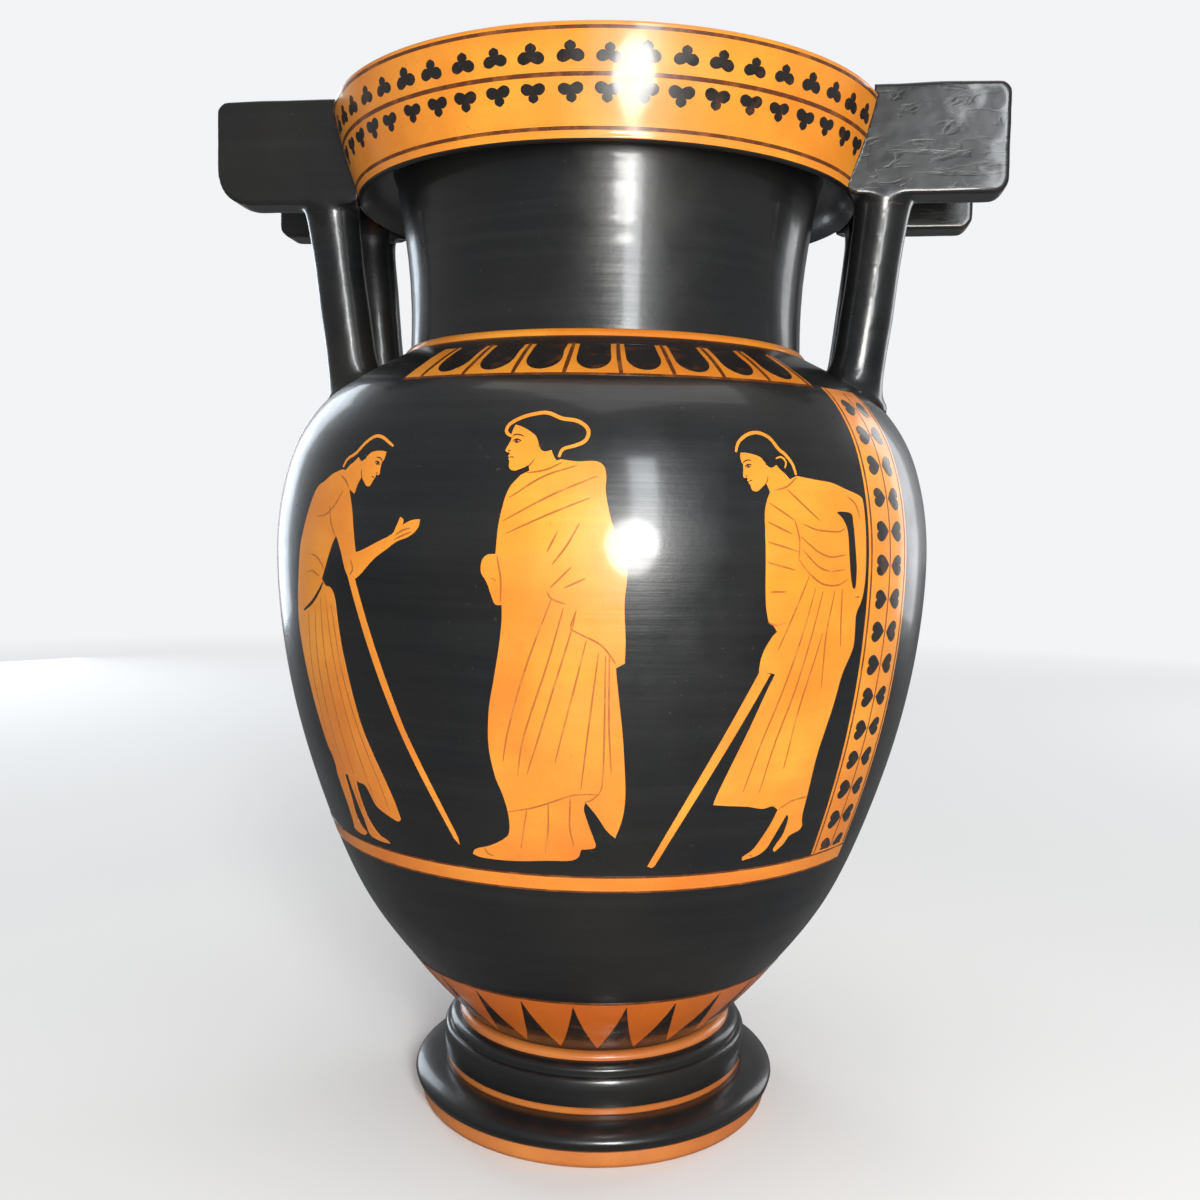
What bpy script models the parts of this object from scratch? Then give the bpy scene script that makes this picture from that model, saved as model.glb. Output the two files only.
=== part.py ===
"""A black-glazed column krater: a wide two-handled mixing bowl on a moulded foot.

Metres, +Z up. The origin is the centre of the resting ring under the foot. The two handles
stand out along +X and -X, and the painted front faces -Y.

The vessel is thrown in five turned pieces (foot disc, foot collar, body, neck, mouth rim).
Each handle is a plate between two upright cheeks, on two leaning columns that stand on the
shoulder. Neighbouring pieces are one joint's width apart.
"""

import math

import bpy
from mathutils import Matrix, Vector

OBJECT_NAME = "column_krater"

# Driving dimensions.
HEIGHT = 0.400
JOINT = 0.0003
WALL = 0.0062
SEGMENTS = 48
CURVE_STEPS = 3
MERGE_DISTANCE = 0.00001

# Foot: a disc with a plain band under a torus, and a collar above it.
FOOT_RADIUS = 0.0755
FOOT_BAND_RADIUS = 0.0730
FOOT_BAND_TOP = 0.0066
TORUS_WIDEST_Z = 0.0102
DISC_TOP = 0.0158
DISC_TOP_RADIUS = 0.0625
RESTING_RING_INNER = 0.0540
RECESS_RADIUS = 0.0490
RECESS_EDGE_DEPTH = 0.0060
RECESS_DEPTH = 0.0085
COLLAR_RADIUS = 0.0637
FILLET_RADIUS = 0.0612
FILLET_BOTTOM = 0.0300
COLLAR_TOP = 0.0346
COLLAR_TOP_RADIUS = 0.0575

# Body: the widest circle of the belly, the seat of the neck, and the floor inside.
BODY_BOTTOM_RADIUS = 0.0520
BELLY_RADIUS = 0.1312
BELLY_Z = 0.2300
SHOULDER_TOP = 0.3059
NECK_SEAT_RADIUS = 0.0802
FLOOR_THICKNESS = 0.0090
FLOOR_RADIUS = 0.0500
FLOOR_FILLET = 0.0040
THROAT_DEPTH = 0.0080

# Neck and mouth rim.
NECK_RADIUS = 0.0794
NECK_TOP = 0.3767
NECK_TOP_RADIUS = 0.0868
RIM_RADIUS = 0.1100
RIM_EDGE_ROUNDING = 0.0012
RIM_LIP_RADIUS = 0.1008
RIM_LIP_Z = 0.3668
RIM_LIP_ROUNDING = 0.0018
MOUTH_RADIUS = 0.0850

# Handles, for the one at +X. The other is its mirror image.
COLUMN_RADIUS = 0.0100
COLUMN_SIDES = 20
COLUMN_FOOT_X = 0.1005
COLUMN_FOOT_Y = 0.0190
COLUMN_FOOT_Z = 0.2930
COLUMN_TOP_X = 0.1085
COLUMN_TOP_Y = 0.0245
COLUMN_ROOT = 0.0150
HEAD_TOP = 0.4035
HEAD_REACH = 0.1525
HEAD_ROOT_X = 0.0900
CHEEK_BOTTOM = 0.3632
CHEEK_ROOT_RISE = 0.0060
CHEEK_OUTER_FACE_Y = 0.0354
CHEEK_THICKNESS = 0.0156
CORNER_RADIUS = 0.0060
PLATE_THICKNESS = 0.0140

GLAZE = (0.016, 0.017, 0.019, 1.0)
CLAY = (0.62, 0.24, 0.06, 1.0)


def clear_scene():
    for thing in list(bpy.data.objects):
        bpy.data.objects.remove(thing, do_unlink=True)


def new_collection(name):
    collection = bpy.data.collections.new(name)
    bpy.context.scene.collection.children.link(collection)
    return collection


def new_material(name, colour, roughness):
    material = bpy.data.materials.new(name)
    material.use_nodes = True
    shader = material.node_tree.nodes["Principled BSDF"]
    shader.inputs["Base Color"].default_value = colour
    shader.inputs["Roughness"].default_value = roughness
    shader.inputs["Metallic"].default_value = 0.0
    return material


# Profiles are lists of (radius, z) points.


def smooth_curve(points):
    """A Catmull-Rom curve through the points."""
    first = 2 * Vector(points[0]) - Vector(points[1])
    last = 2 * Vector(points[-1]) - Vector(points[-2])
    ends = [first] + [Vector(point) for point in points] + [last]
    curve = []
    for a, b, c, d in zip(ends, ends[1:], ends[2:], ends[3:]):
        for step in range(CURVE_STEPS):
            t = step / CURVE_STEPS
            place = 2 * b + (c - a) * t
            place += (2 * a - 5 * b + 4 * c - d) * t * t
            place += (3 * b - a - 3 * c + d) * t * t * t
            curve.append(tuple(place / 2))
    curve.append(tuple(points[-1]))
    return curve


def arc(centre, radius, start, end, steps):
    """Points of a circular arc, with its angles in degrees."""
    turns = [math.radians(start + (end - start) * k / steps) for k in range(steps + 1)]
    return [(centre[0] + radius * math.cos(a), centre[1] + radius * math.sin(a)) for a in turns]


def outward(profile, distance):
    """The profile moved outwards along its normals. It must run downwards."""
    moved = []
    for k, point in enumerate(profile):
        before = Vector(profile[max(k - 1, 0)])
        after = Vector(profile[min(k + 1, len(profile) - 1)])
        along = (after - before).normalized()
        moved.append((point[0] - along.y * distance, point[1] + along.x * distance))
    return moved


def shoulder_to_foot():
    """The body's outer line, from the seat of the neck to its flat underside."""
    return smooth_curve(
        [
            (NECK_SEAT_RADIUS, SHOULDER_TOP),
            (0.0990, 0.2955),
            (0.1150, 0.2830),
            (0.1262, 0.2620),
            (BELLY_RADIUS, BELLY_Z),
            (0.1278, 0.1860),
            (0.1172, 0.1415),
            (0.0990, 0.0950),
            (0.0753, 0.0610),
            (BODY_BOTTOM_RADIUS, COLLAR_TOP + JOINT),
        ]
    )


def neck_line():
    return smooth_curve(
        [
            (NECK_TOP_RADIUS, NECK_TOP),
            (0.0846, 0.3690),
            (0.0808, 0.3440),
            (NECK_RADIUS, 0.3250),
            (NECK_RADIUS, SHOULDER_TOP + JOINT),
        ]
    )


def rim_face_line():
    """The rim's flared face, from its rounded upper edge down to its rounded lip."""
    edge = (RIM_RADIUS - RIM_EDGE_ROUNDING, HEIGHT - RIM_EDGE_ROUNDING)
    lip = (RIM_LIP_RADIUS - RIM_LIP_ROUNDING, RIM_LIP_Z)
    upper = arc(edge, RIM_EDGE_ROUNDING, 90, 0, 3)
    return upper + arc(lip, RIM_LIP_ROUNDING, 0, -120, 4)


def turned(name, profile, collection, closed=False):
    """A solid of revolution. The profile runs down its outer side, top to bottom."""
    mesh = bpy.data.meshes.new(name)
    edges = [(k, k + 1) for k in range(len(profile) - 1)]
    if closed:
        edges.append((len(profile) - 1, 0))
    mesh.from_pydata([(radius, 0.0, z) for radius, z in profile], edges, [])
    thing = bpy.data.objects.new(name, mesh)
    collection.objects.link(thing)
    screw = thing.modifiers.new("Turn", "SCREW")
    screw.angle = 2 * math.pi
    screw.steps = SEGMENTS
    screw.render_steps = SEGMENTS
    screw.use_merge_vertices = True
    screw.merge_threshold = MERGE_DISTANCE
    screw.use_smooth_shade = True
    return thing


def add_foot_disc(collection, glaze):
    torus_height = DISC_TOP - TORUS_WIDEST_Z
    torus_depth = FOOT_RADIUS - DISC_TOP_RADIUS
    quarter = [math.radians(90 - 15 * k) for k in range(7)]
    profile = [(0.0, DISC_TOP)]
    for turn in quarter:
        radius = DISC_TOP_RADIUS + torus_depth * math.cos(turn)
        profile.append((radius, TORUS_WIDEST_Z + torus_height * math.sin(turn)))
    profile += [
        (FOOT_RADIUS - 0.0006, FOOT_BAND_TOP + 0.0015),
        (FOOT_BAND_RADIUS + 0.0004, FOOT_BAND_TOP),
        (FOOT_BAND_RADIUS, 0.0),
        (RESTING_RING_INNER, 0.0),
        (RECESS_RADIUS, RECESS_EDGE_DEPTH),
        (0.0, RECESS_DEPTH),
    ]
    disc = turned("foot_disc", profile, collection)
    disc.data.materials.append(glaze)


def add_foot_collar(collection, glaze):
    """A convex moulding with a plain fillet above it, and a shallow step between them."""
    bottom = DISC_TOP + JOINT
    profile = [
        (0.0, COLLAR_TOP),
        (COLLAR_TOP_RADIUS, COLLAR_TOP),
        (FILLET_RADIUS - 0.0004, COLLAR_TOP - 0.0016),
        (FILLET_RADIUS, COLLAR_TOP - 0.0026),
        (FILLET_RADIUS, FILLET_BOTTOM),
        (COLLAR_RADIUS - 0.0008, FILLET_BOTTOM - 0.0018),
        (COLLAR_RADIUS, 0.0250),
        (COLLAR_RADIUS - 0.0003, 0.0205),
        (COLLAR_RADIUS - 0.0014, bottom),
        (0.0, bottom),
    ]
    collar = turned("foot_collar", profile, collection)
    collar.data.materials.append(glaze)


def add_body(collection, glaze):
    """The bowl: one wall that follows the outer line, and a flat floor."""
    outer = shoulder_to_foot()
    bottom = COLLAR_TOP + JOINT
    floor = bottom + FLOOR_THICKNESS
    low = floor + FLOOR_FILLET
    high = SHOULDER_TOP - THROAT_DEPTH
    inner = [point for point in outward(outer, -WALL) if low < point[1] < high]
    profile = [(0.0, floor), (FLOOR_RADIUS, floor)]
    profile += reversed(inner)
    profile += [(NECK_RADIUS - WALL, SHOULDER_TOP)]
    profile += outer
    profile += [(0.0, bottom)]
    body = turned("body", profile, collection)
    body.data.materials.append(glaze)


def add_neck(collection, glaze):
    outer = neck_line()
    bore = [(radius - WALL, z) for radius, z in reversed(outer)]
    neck = turned("neck", outer + bore, collection, closed=True)
    neck.data.materials.append(glaze)


def add_mouth_rim(collection, clay):
    """An overhanging ring: its flared face hangs lower than its seat on the neck."""
    seat = NECK_TOP + JOINT
    bore = NECK_TOP_RADIUS - WALL
    profile = rim_face_line()
    profile += [
        (0.0962, RIM_LIP_Z + 0.0030),
        (0.0935, seat - 0.0030),
        (NECK_TOP_RADIUS + 0.0008, seat),
        (bore, seat),
        (bore + 0.0010, seat + 0.0080),
        (MOUTH_RADIUS - 0.0012, HEIGHT - 0.0075),
        (MOUTH_RADIUS + 0.0012, HEIGHT - 0.0032),
        (MOUTH_RADIUS + 0.0060, HEIGHT - 0.0010),
    ]
    rim = turned("mouth_rim", profile, collection, closed=True)
    rim.data.materials.append(clay)


def as_cutter(thing):
    thing.hide_render = True
    thing.display_type = "WIRE"
    return thing


def add_body_cutter(collection):
    """The body grown by one joint, to shape the columns' feet."""
    outer = outward(shoulder_to_foot(), JOINT)
    profile = [(0.0, SHOULDER_TOP)] + outer + [(0.0, COLLAR_TOP)]
    return as_cutter(turned("body_cutter", profile, collection))


def add_rim_cutter(collection):
    """The rim grown by one joint and run on upwards, to shape the handles' inner ends."""
    face = outward(rim_face_line(), JOINT)
    below_edge = [point for point in face if point[1] < HEIGHT - RIM_EDGE_ROUNDING / 2]
    above = HEIGHT + 0.0200
    profile = [(0.0, above), (RIM_RADIUS + JOINT, above)]
    profile += below_edge
    profile += [(0.0, face[-1][1])]
    return as_cutter(turned("rim_cutter", profile, collection))


def cut(thing, cutter):
    boolean = thing.modifiers.new("Fit to " + cutter.name, "BOOLEAN")
    boolean.operation = "DIFFERENCE"
    boolean.solver = "EXACT"
    boolean.object = cutter


def mirror_into_place(thing, side, end):
    """Takes a mesh made at +X, +Y to its own side (along X) and end (along Y)."""
    thing.data.transform(Matrix.Diagonal((side, end, 1, 1)))
    if side * end < 0:
        thing.data.flip_normals()


def store(thing, name, collection, material):
    thing.name = name
    thing.data.name = name
    for other in list(thing.users_collection):
        other.objects.unlink(thing)
    collection.objects.link(thing)
    thing.data.materials.append(material)


def add_column(name, side, end, collection, body_cutter, glaze):
    """A round column that leans outwards, with a level top and a foot cut to the shoulder."""
    top = CHEEK_BOTTOM - JOINT
    bottom = COLUMN_FOOT_Z - COLUMN_ROOT
    rise = top - COLUMN_FOOT_Z
    lean_x = (COLUMN_TOP_X - COLUMN_FOOT_X) / rise
    lean_y = (COLUMN_TOP_Y - COLUMN_FOOT_Y) / rise
    bpy.ops.mesh.primitive_cylinder_add(vertices=COLUMN_SIDES, radius=COLUMN_RADIUS, depth=top - bottom)
    column = bpy.context.object
    column.data.transform(Matrix.Translation((0, 0, -(top - bottom) / 2)))
    column.data.transform(Matrix(((1, 0, lean_x, 0), (0, 1, lean_y, 0), (0, 0, 1, 0), (0, 0, 0, 1))))
    column.data.transform(Matrix.Translation((COLUMN_TOP_X, COLUMN_TOP_Y, top)))
    mirror_into_place(column, side, end)
    cut(column, body_cutter)
    store(column, name, collection, glaze)


def cheek_outline():
    """The cheek in the XZ plane: rounded outer corners, and a root that runs into the rim."""
    centre_x = HEAD_REACH - CORNER_RADIUS
    upper = arc((centre_x, HEAD_TOP - CORNER_RADIUS), CORNER_RADIUS, 90, 0, 4)
    lower = arc((centre_x, CHEEK_BOTTOM + CORNER_RADIUS), CORNER_RADIUS, 0, -90, 4)
    inner_foot = (COLUMN_TOP_X - COLUMN_RADIUS, CHEEK_BOTTOM)
    root = (HEAD_ROOT_X, CHEEK_BOTTOM + CHEEK_ROOT_RISE)
    return [(HEAD_ROOT_X, HEAD_TOP)] + upper + lower + [inner_foot, root]


def add_cheek(name, side, end, collection, rim_cutter, glaze):
    mesh = bpy.data.meshes.new(name)
    cheek = bpy.data.objects.new(name, mesh)
    outline = cheek_outline()
    corners = [(x, CHEEK_OUTER_FACE_Y, z) for x, z in outline]
    mesh.from_pydata(corners, [], [list(range(len(corners)))])
    mirror_into_place(cheek, side, end)
    solidify = cheek.modifiers.new("Thickness", "SOLIDIFY")
    solidify.thickness = CHEEK_THICKNESS
    solidify.offset = -1.0
    cut(cheek, rim_cutter)
    store(cheek, name, collection, glaze)


def add_plate(name, side, collection, rim_cutter, glaze):
    length = HEAD_REACH - HEAD_ROOT_X
    width = 2 * (CHEEK_OUTER_FACE_Y - CHEEK_THICKNESS - JOINT)
    bpy.ops.mesh.primitive_cube_add(size=1)
    plate = bpy.context.object
    plate.data.transform(Matrix.Diagonal((length, width, PLATE_THICKNESS, 1)))
    middle = (HEAD_ROOT_X + length / 2, 0, HEAD_TOP - PLATE_THICKNESS / 2)
    plate.data.transform(Matrix.Translation(middle))
    mirror_into_place(plate, side, 1)
    cut(plate, rim_cutter)
    store(plate, name, collection, glaze)


def build():
    clear_scene()
    krater = new_collection(OBJECT_NAME)
    cutters = new_collection("cutters")
    glaze = new_material("black_glaze", GLAZE, 0.18)
    clay = new_material("painted_clay", CLAY, 0.35)
    add_foot_disc(krater, glaze)
    add_foot_collar(krater, glaze)
    add_body(krater, glaze)
    add_neck(krater, glaze)
    add_mouth_rim(krater, clay)
    body_cutter = add_body_cutter(cutters)
    rim_cutter = add_rim_cutter(cutters)
    for side_name, side in (("right", 1), ("left", -1)):
        add_plate("handle_plate_" + side_name, side, krater, rim_cutter, glaze)
        for end_name, end in (("front", -1), ("rear", 1)):
            place = side_name + "_" + end_name
            add_column("column_" + place, side, end, krater, body_cutter, glaze)
            add_cheek("handle_cheek_" + place, side, end, krater, rim_cutter, glaze)


build()
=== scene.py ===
"""Looks of the column krater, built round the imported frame.

The turned pieces are fine surfaces of revolution. The painting on the bowl is thin skins of clay and
slip that stand about a tenth of a millimetre proud, so every painted shape is real geometry.

Everything is drawn in millimetres and turned into metres when a mesh is made. A place on a turned
surface is (x, height): x runs round the vase along the belly's widest circle, 0 at the front (-Y) and
positive towards +X, and height is the distance up the surface's own line, 0 at its top and negative
below. Figures are drawn as (x, z) and brought onto the line by their height above the table.
"""

import math
import random

import bmesh
import bpy
import numpy as np
from mathutils import Matrix, Vector, noise
from mathutils.geometry import delaunay_2d_cdt


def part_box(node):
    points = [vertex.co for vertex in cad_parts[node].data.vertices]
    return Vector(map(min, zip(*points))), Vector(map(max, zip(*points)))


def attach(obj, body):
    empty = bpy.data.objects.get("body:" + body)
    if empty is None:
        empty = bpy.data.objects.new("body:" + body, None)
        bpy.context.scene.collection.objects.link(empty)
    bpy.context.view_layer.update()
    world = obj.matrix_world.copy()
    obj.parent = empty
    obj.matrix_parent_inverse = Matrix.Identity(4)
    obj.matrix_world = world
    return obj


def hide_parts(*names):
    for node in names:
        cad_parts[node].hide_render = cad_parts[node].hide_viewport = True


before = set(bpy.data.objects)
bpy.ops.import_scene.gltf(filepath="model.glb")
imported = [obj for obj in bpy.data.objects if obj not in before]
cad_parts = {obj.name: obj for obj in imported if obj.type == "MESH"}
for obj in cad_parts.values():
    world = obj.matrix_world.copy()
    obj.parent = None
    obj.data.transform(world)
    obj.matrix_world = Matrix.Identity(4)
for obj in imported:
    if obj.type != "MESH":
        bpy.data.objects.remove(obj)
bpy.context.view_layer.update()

MM = 0.001
BODY = "root"
CLAY_SLOT = "red_clay"
TURN_STEPS = 256
LINE_STEP = 1.5
OUTLINE_STEP = 1.2

# How far skins stand proud of the bowl, and how thick they are.
CLAY_LIFT = 0.11
SLIP_LIFT = 0.19
SKIN_DEPTH = 0.25

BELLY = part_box("body")[1].x / MM
ROUND = 2 * math.pi * BELLY
DEGREE = ROUND / 360


# Flat curves.


def smooth_curve(points, step=LINE_STEP):
    """A Catmull-Rom curve through the points, as points about one step apart."""
    points = np.asarray(points, float)
    ends = np.vstack([2 * points[0] - points[1], points, 2 * points[-1] - points[-2]])
    curve = []
    for a, b, c, d in zip(ends, ends[1:], ends[2:], ends[3:]):
        count = max(2, math.ceil(np.linalg.norm(c - b) / step))
        t = np.arange(count)[:, None] / count
        bend = (2 * a - 5 * b + 4 * c - d) * t**2 + (3 * b - a - 3 * c + d) * t**3
        curve.append(b + ((c - a) * t + bend) / 2)
    curve.append(points[-1:])
    return np.vstack(curve)


def ring(*runs, step=OUTLINE_STEP):
    """A closed outline of smooth runs. A run starts at a corner and ends where the next one starts."""
    parts = []
    for run, following in zip(runs, runs[1:] + runs[:1]):
        parts.append(smooth_curve(list(run) + [following[0]], step)[:-1])
    return np.vstack(parts)


def smooth_ring(points, step=OUTLINE_STEP):
    """A closed outline with no corners."""
    around = list(points[-2:]) + list(points) + list(points[:2])
    curve = smooth_curve(around, step)
    first = np.argmin(np.linalg.norm(curve - np.array(points[0]), axis=1))
    rest = curve[first + 1 :]
    last = first + 1 + np.argmin(np.linalg.norm(rest - np.array(points[0]), axis=1))
    return curve[first:last]


def arc(centre, radius, start, end, steps):
    """Points of a circular arc, with its angles in degrees."""
    turns = np.radians(np.linspace(start, end, steps + 1))
    return np.column_stack([centre[0] + radius * np.cos(turns), centre[1] + radius * np.sin(turns)])


def mirrored(points):
    return [(-x, y) for x, y in reversed(points)]


def inside(points, outline):
    """Which points lie inside a closed outline."""
    crossings = np.zeros(len(points), int)
    for (x1, y1), (x2, y2) in zip(outline, np.roll(outline, -1, axis=0)):
        if y1 == y2:
            continue
        level = (points[:, 1] >= min(y1, y2)) & (points[:, 1] < max(y1, y2))
        crossing = x1 + (points[:, 1] - y1) * (x2 - x1) / (y2 - y1)
        crossings += level & (points[:, 0] < crossing)
    return crossings % 2 == 1


def inside_any(points, outlines):
    found = np.zeros(len(points), bool)
    for outline in outlines:
        found |= inside(points, outline)
    return found


# Turned surfaces.


class Turned:
    """A turned surface. Its line is (radius, z) points and runs down the outer side."""

    def __init__(self, line):
        self.line = np.array(line, float)
        steps = np.linalg.norm(np.diff(self.line, axis=0), axis=1)
        self.down = np.concatenate([[0], np.cumsum(steps)])
        along = np.gradient(self.line, self.down, axis=0)
        along /= np.linalg.norm(along, axis=1, keepdims=True)
        self.outward = np.column_stack([-along[:, 1], along[:, 0]])

    def flat(self, drawing):
        """(x, z) points, brought to (x, height) by their z."""
        drawing = np.asarray(drawing, float)
        down = np.interp(-drawing[:, 1], -self.line[:, 1], self.down)
        return np.column_stack([drawing[:, 0], -down])

    def at(self, flat, values):
        return np.interp(-flat[:, 1], self.down, values)

    def normals(self, flat):
        turn = flat[:, 0] / BELLY
        across = self.at(flat, self.outward[:, 0])
        up = self.at(flat, self.outward[:, 1])
        return np.column_stack([across * np.sin(turn), -across * np.cos(turn), up])

    def points(self, flat, lift):
        turn = flat[:, 0] / BELLY
        radius = self.at(flat, self.line[:, 0])
        z = self.at(flat, self.line[:, 1])
        ground = np.column_stack([radius * np.sin(turn), -radius * np.cos(turn), z])
        return ground + self.normals(flat) * lift


def offset(line, distance):
    """A line moved along its normals, outwards if the distance is positive."""
    return np.asarray(line) + Turned(line).outward * distance


def fitted(line, node):
    """A (radius, z) line stretched so that it fills a CAD node's box."""
    low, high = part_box(node)
    line = np.array(line, float)
    line[:, 0] *= high.x / MM / line[:, 0].max()
    share = (line[:, 1] - line[:, 1].min()) / np.ptp(line[:, 1])
    line[:, 1] = (low.z + share * (high.z - low.z)) / MM
    return line


# Meshes.

SHARP_ANGLE = math.radians(38)


def make_piece(name, points, faces, materials, normals=None):
    """A mesh object in the frame, from points in millimetres."""
    mesh = bpy.data.meshes.new(name)
    mesh.from_pydata((np.asarray(points) * MM).tolist(), [], faces)
    for material in materials:
        mesh.materials.append(material)
    mesh.shade_smooth()
    if normals is not None:
        mesh.normals_split_custom_set(normals)
    piece = bpy.data.objects.new(name, mesh)
    bpy.context.scene.collection.objects.link(piece)
    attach(piece, BODY)
    return piece


def turned_piece(name, sections, closed=False, wobble=None):
    """A solid of revolution. Each section is a line and its material, and the sections join end to end."""
    line, owners, materials = [], [], []
    for number, (points, material) in enumerate(sections):
        points = np.asarray(points, float)
        fresh = points if number == 0 else points[1:]
        line.append(fresh)
        owners += [number] * (len(fresh) - (number == 0))
        materials.append(material)
    line = np.vstack(line)
    if closed:
        owners.append(len(sections) - 1)
    turns = np.arange(TURN_STEPS) * 2 * math.pi / TURN_STEPS
    points, rows = [], []
    for radius, z in line:
        start = len(points)
        if radius < 1e-6:
            points.append((0, 0, z))
            rows.append([start] * TURN_STEPS)
            continue
        radii = radius + (wobble(turns, z) if wobble else np.zeros(TURN_STEPS))
        points += zip(radii * np.sin(turns), -radii * np.cos(turns), np.full(TURN_STEPS, z))
        rows.append(list(range(start, start + TURN_STEPS)))
    if closed:
        rows.append(rows[0])
    faces, indices = [], []
    for upper, lower, owner in zip(rows, rows[1:], owners):
        for k in range(TURN_STEPS):
            n = (k + 1) % TURN_STEPS
            corners = (upper[k], lower[k], lower[n], upper[n])
            faces.append(tuple(dict.fromkeys(corners)))
            indices.append(owner)
    piece = make_piece(name, points, faces, materials)
    piece.data.polygons.foreach_set("material_index", indices)
    piece.data.set_sharp_from_angle(angle=SHARP_ANGLE)
    return piece


FILL_SPACING = 3.0
TRIANGLE_ROW = 0.87
BORDER_CLEARANCE = 0.45


def filled(rings, holes=(), spacing=FILL_SPACING):
    """Flat points and triangles that fill the union of closed outlines, less the holes."""
    borders = list(rings) + list(holes)
    border_points = np.vstack(borders)
    edges, start = [], 0
    for border in borders:
        count = len(border)
        edges += [(start + k, start + (k + 1) % count) for k in range(count)]
        start += count
    low, high = border_points.min(0), border_points.max(0)
    columns = np.arange(low[0], high[0], spacing)
    levels = np.arange(low[1], high[1], spacing * TRIANGLE_ROW)
    grid = np.array([(x + (k % 2) * spacing / 2, y) for k, y in enumerate(levels) for x in columns])
    grid = grid[inside_any(grid, rings) & ~inside_any(grid, holes)]
    if len(grid):
        away = np.linalg.norm(grid[:, None] - border_points[None], axis=2).min(1)
        grid = grid[away > spacing * BORDER_CLEARANCE]
    places = [Vector(place) for place in np.vstack([border_points, grid])]
    found = delaunay_2d_cdt(places, edges, [], 1, 1e-4)
    flat = np.array([tuple(place) for place in found[0]])
    triangles = np.array(found[2])
    centres = flat[triangles].mean(1)
    triangles = triangles[inside_any(centres, rings) & ~inside_any(centres, holes)]
    a, b, c = (flat[triangles[:, k]] for k in range(3))
    area = (b[:, 0] - a[:, 0]) * (c[:, 1] - a[:, 1]) - (c[:, 0] - a[:, 0]) * (b[:, 1] - a[:, 1])
    triangles[area < 0] = triangles[area < 0][:, ::-1]
    used, inverse = np.unique(triangles, return_inverse=True)
    return flat[used], [tuple(face) for face in inverse.reshape(-1, 3).tolist()]


def band(x_from, x_to, top, bottom, x_step=FILL_SPACING):
    """Flat points and quads of a strip between two heights."""
    columns = max(1, round((x_to - x_from) / x_step))
    rows = max(1, math.ceil((top - bottom) / LINE_STEP))
    flat = []
    for row in range(rows + 1):
        height = top + (bottom - top) * row / rows
        flat += [(x_from + (x_to - x_from) * k / columns, height) for k in range(columns + 1)]
    faces = []
    for row in range(rows):
        for k in range(columns):
            corner = row * (columns + 1) + k
            below = corner + columns + 1
            faces.append((corner, below, below + 1, corner + 1))
    return np.array(flat), faces


def full_band(top, bottom):
    """The same strip all the way round, closed on itself."""
    flat, faces = band(0, ROUND, top, bottom, ROUND / TURN_STEPS)
    row = TURN_STEPS + 1
    flat = flat.reshape(-1, row, 2)[:, :-1].reshape(-1, 2)
    wrapped = [tuple(c // row * TURN_STEPS + c % row % TURN_STEPS for c in face) for face in faces]
    return flat, wrapped


def path_end(surface, path, end, before):
    """The direction in which a path runs out at one end."""
    tip, back = surface.points(path[[end, before]], 0)
    return tip - back


class Skins:
    """Thin closed shells on one turned surface, collected into one mesh."""

    def __init__(self, surface, lift):
        self.surface, self.lift = surface, lift
        self.points, self.faces, self.normals = [], [], []
        self.count = 0

    def add(self, patch):
        """A patch of flat points and faces, closed by a back that is sunk in the surface, and by sides."""
        flat, faces = patch
        size = len(flat)
        front = self.surface.points(flat, self.lift)
        back = self.surface.points(flat, self.lift - SKIN_DEPTH)
        out = self.surface.normals(flat)
        directed = {(a, b) for face in faces for a, b in zip(face, face[1:] + face[:1])}
        borders = [(a, b) for a, b in directed if (b, a) not in directed]
        for face in faces:
            self._face(face, [out[k] for k in face])
            self._face([k + size for k in reversed(face)], [-out[k] for k in reversed(face)])
        for a, b in sorted(borders):
            aside = Vector(np.cross(front[b] - front[a], out[a])).normalized()
            self._face([a, a + size, b + size, b], [aside] * 4)
        self.points += [front, back]
        self.count += 2 * size

    def stroke(self, path, width, taper=0.35, step=1.2):
        """A painted line: a low ribbon along a smooth curve, thinner towards its ends."""
        path = smooth_curve(path, step)
        along = np.gradient(path, axis=0)
        along /= np.linalg.norm(along, axis=1, keepdims=True)
        left = np.column_stack([-along[:, 1], along[:, 0]])
        share = np.linspace(0, 1, len(path))
        fullness = taper + (1 - taper) * np.sqrt(np.sin(math.pi * share).clip(0))
        reach = left * (width / 2 * fullness)[:, None]
        size = len(path)
        sunk, proud = self.lift - SKIN_DEPTH, self.lift
        for flat, lift in ((reach, sunk), (reach, proud), (-reach, proud), (-reach, sunk)):
            self.points.append(self.surface.points(path + flat, lift))
        out = self.surface.normals(path)
        aside = self.surface.points(path + left, 0) - self.surface.points(path, 0)
        facing = [aside, out, -aside, -out]
        for row, normals in enumerate(facing):
            near, far = row * size, (row + 1) % 4 * size
            for k in range(size - 1):
                corners = [near + k, far + k, far + k + 1, near + k + 1]
                self._face(corners, [normals[k], normals[k], normals[k + 1], normals[k + 1]])
        backwards = path_end(self.surface, path, 0, 1)
        forwards = path_end(self.surface, path, -1, -2)
        self._face([row * size for row in (0, 3, 2, 1)], [backwards] * 4)
        self._face([row * size + size - 1 for row in range(4)], [forwards] * 4)
        self.count += 4 * size

    def _face(self, corners, normals):
        self.faces.append(tuple(self.count + k for k in corners))
        self.normals += [Vector(normal).normalized() for normal in normals]

    def piece(self, name, material, slot=CLAY_SLOT):
        return make_piece(name, np.vstack(self.points), self.faces, [material], self.normals)


# Materials.


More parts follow.
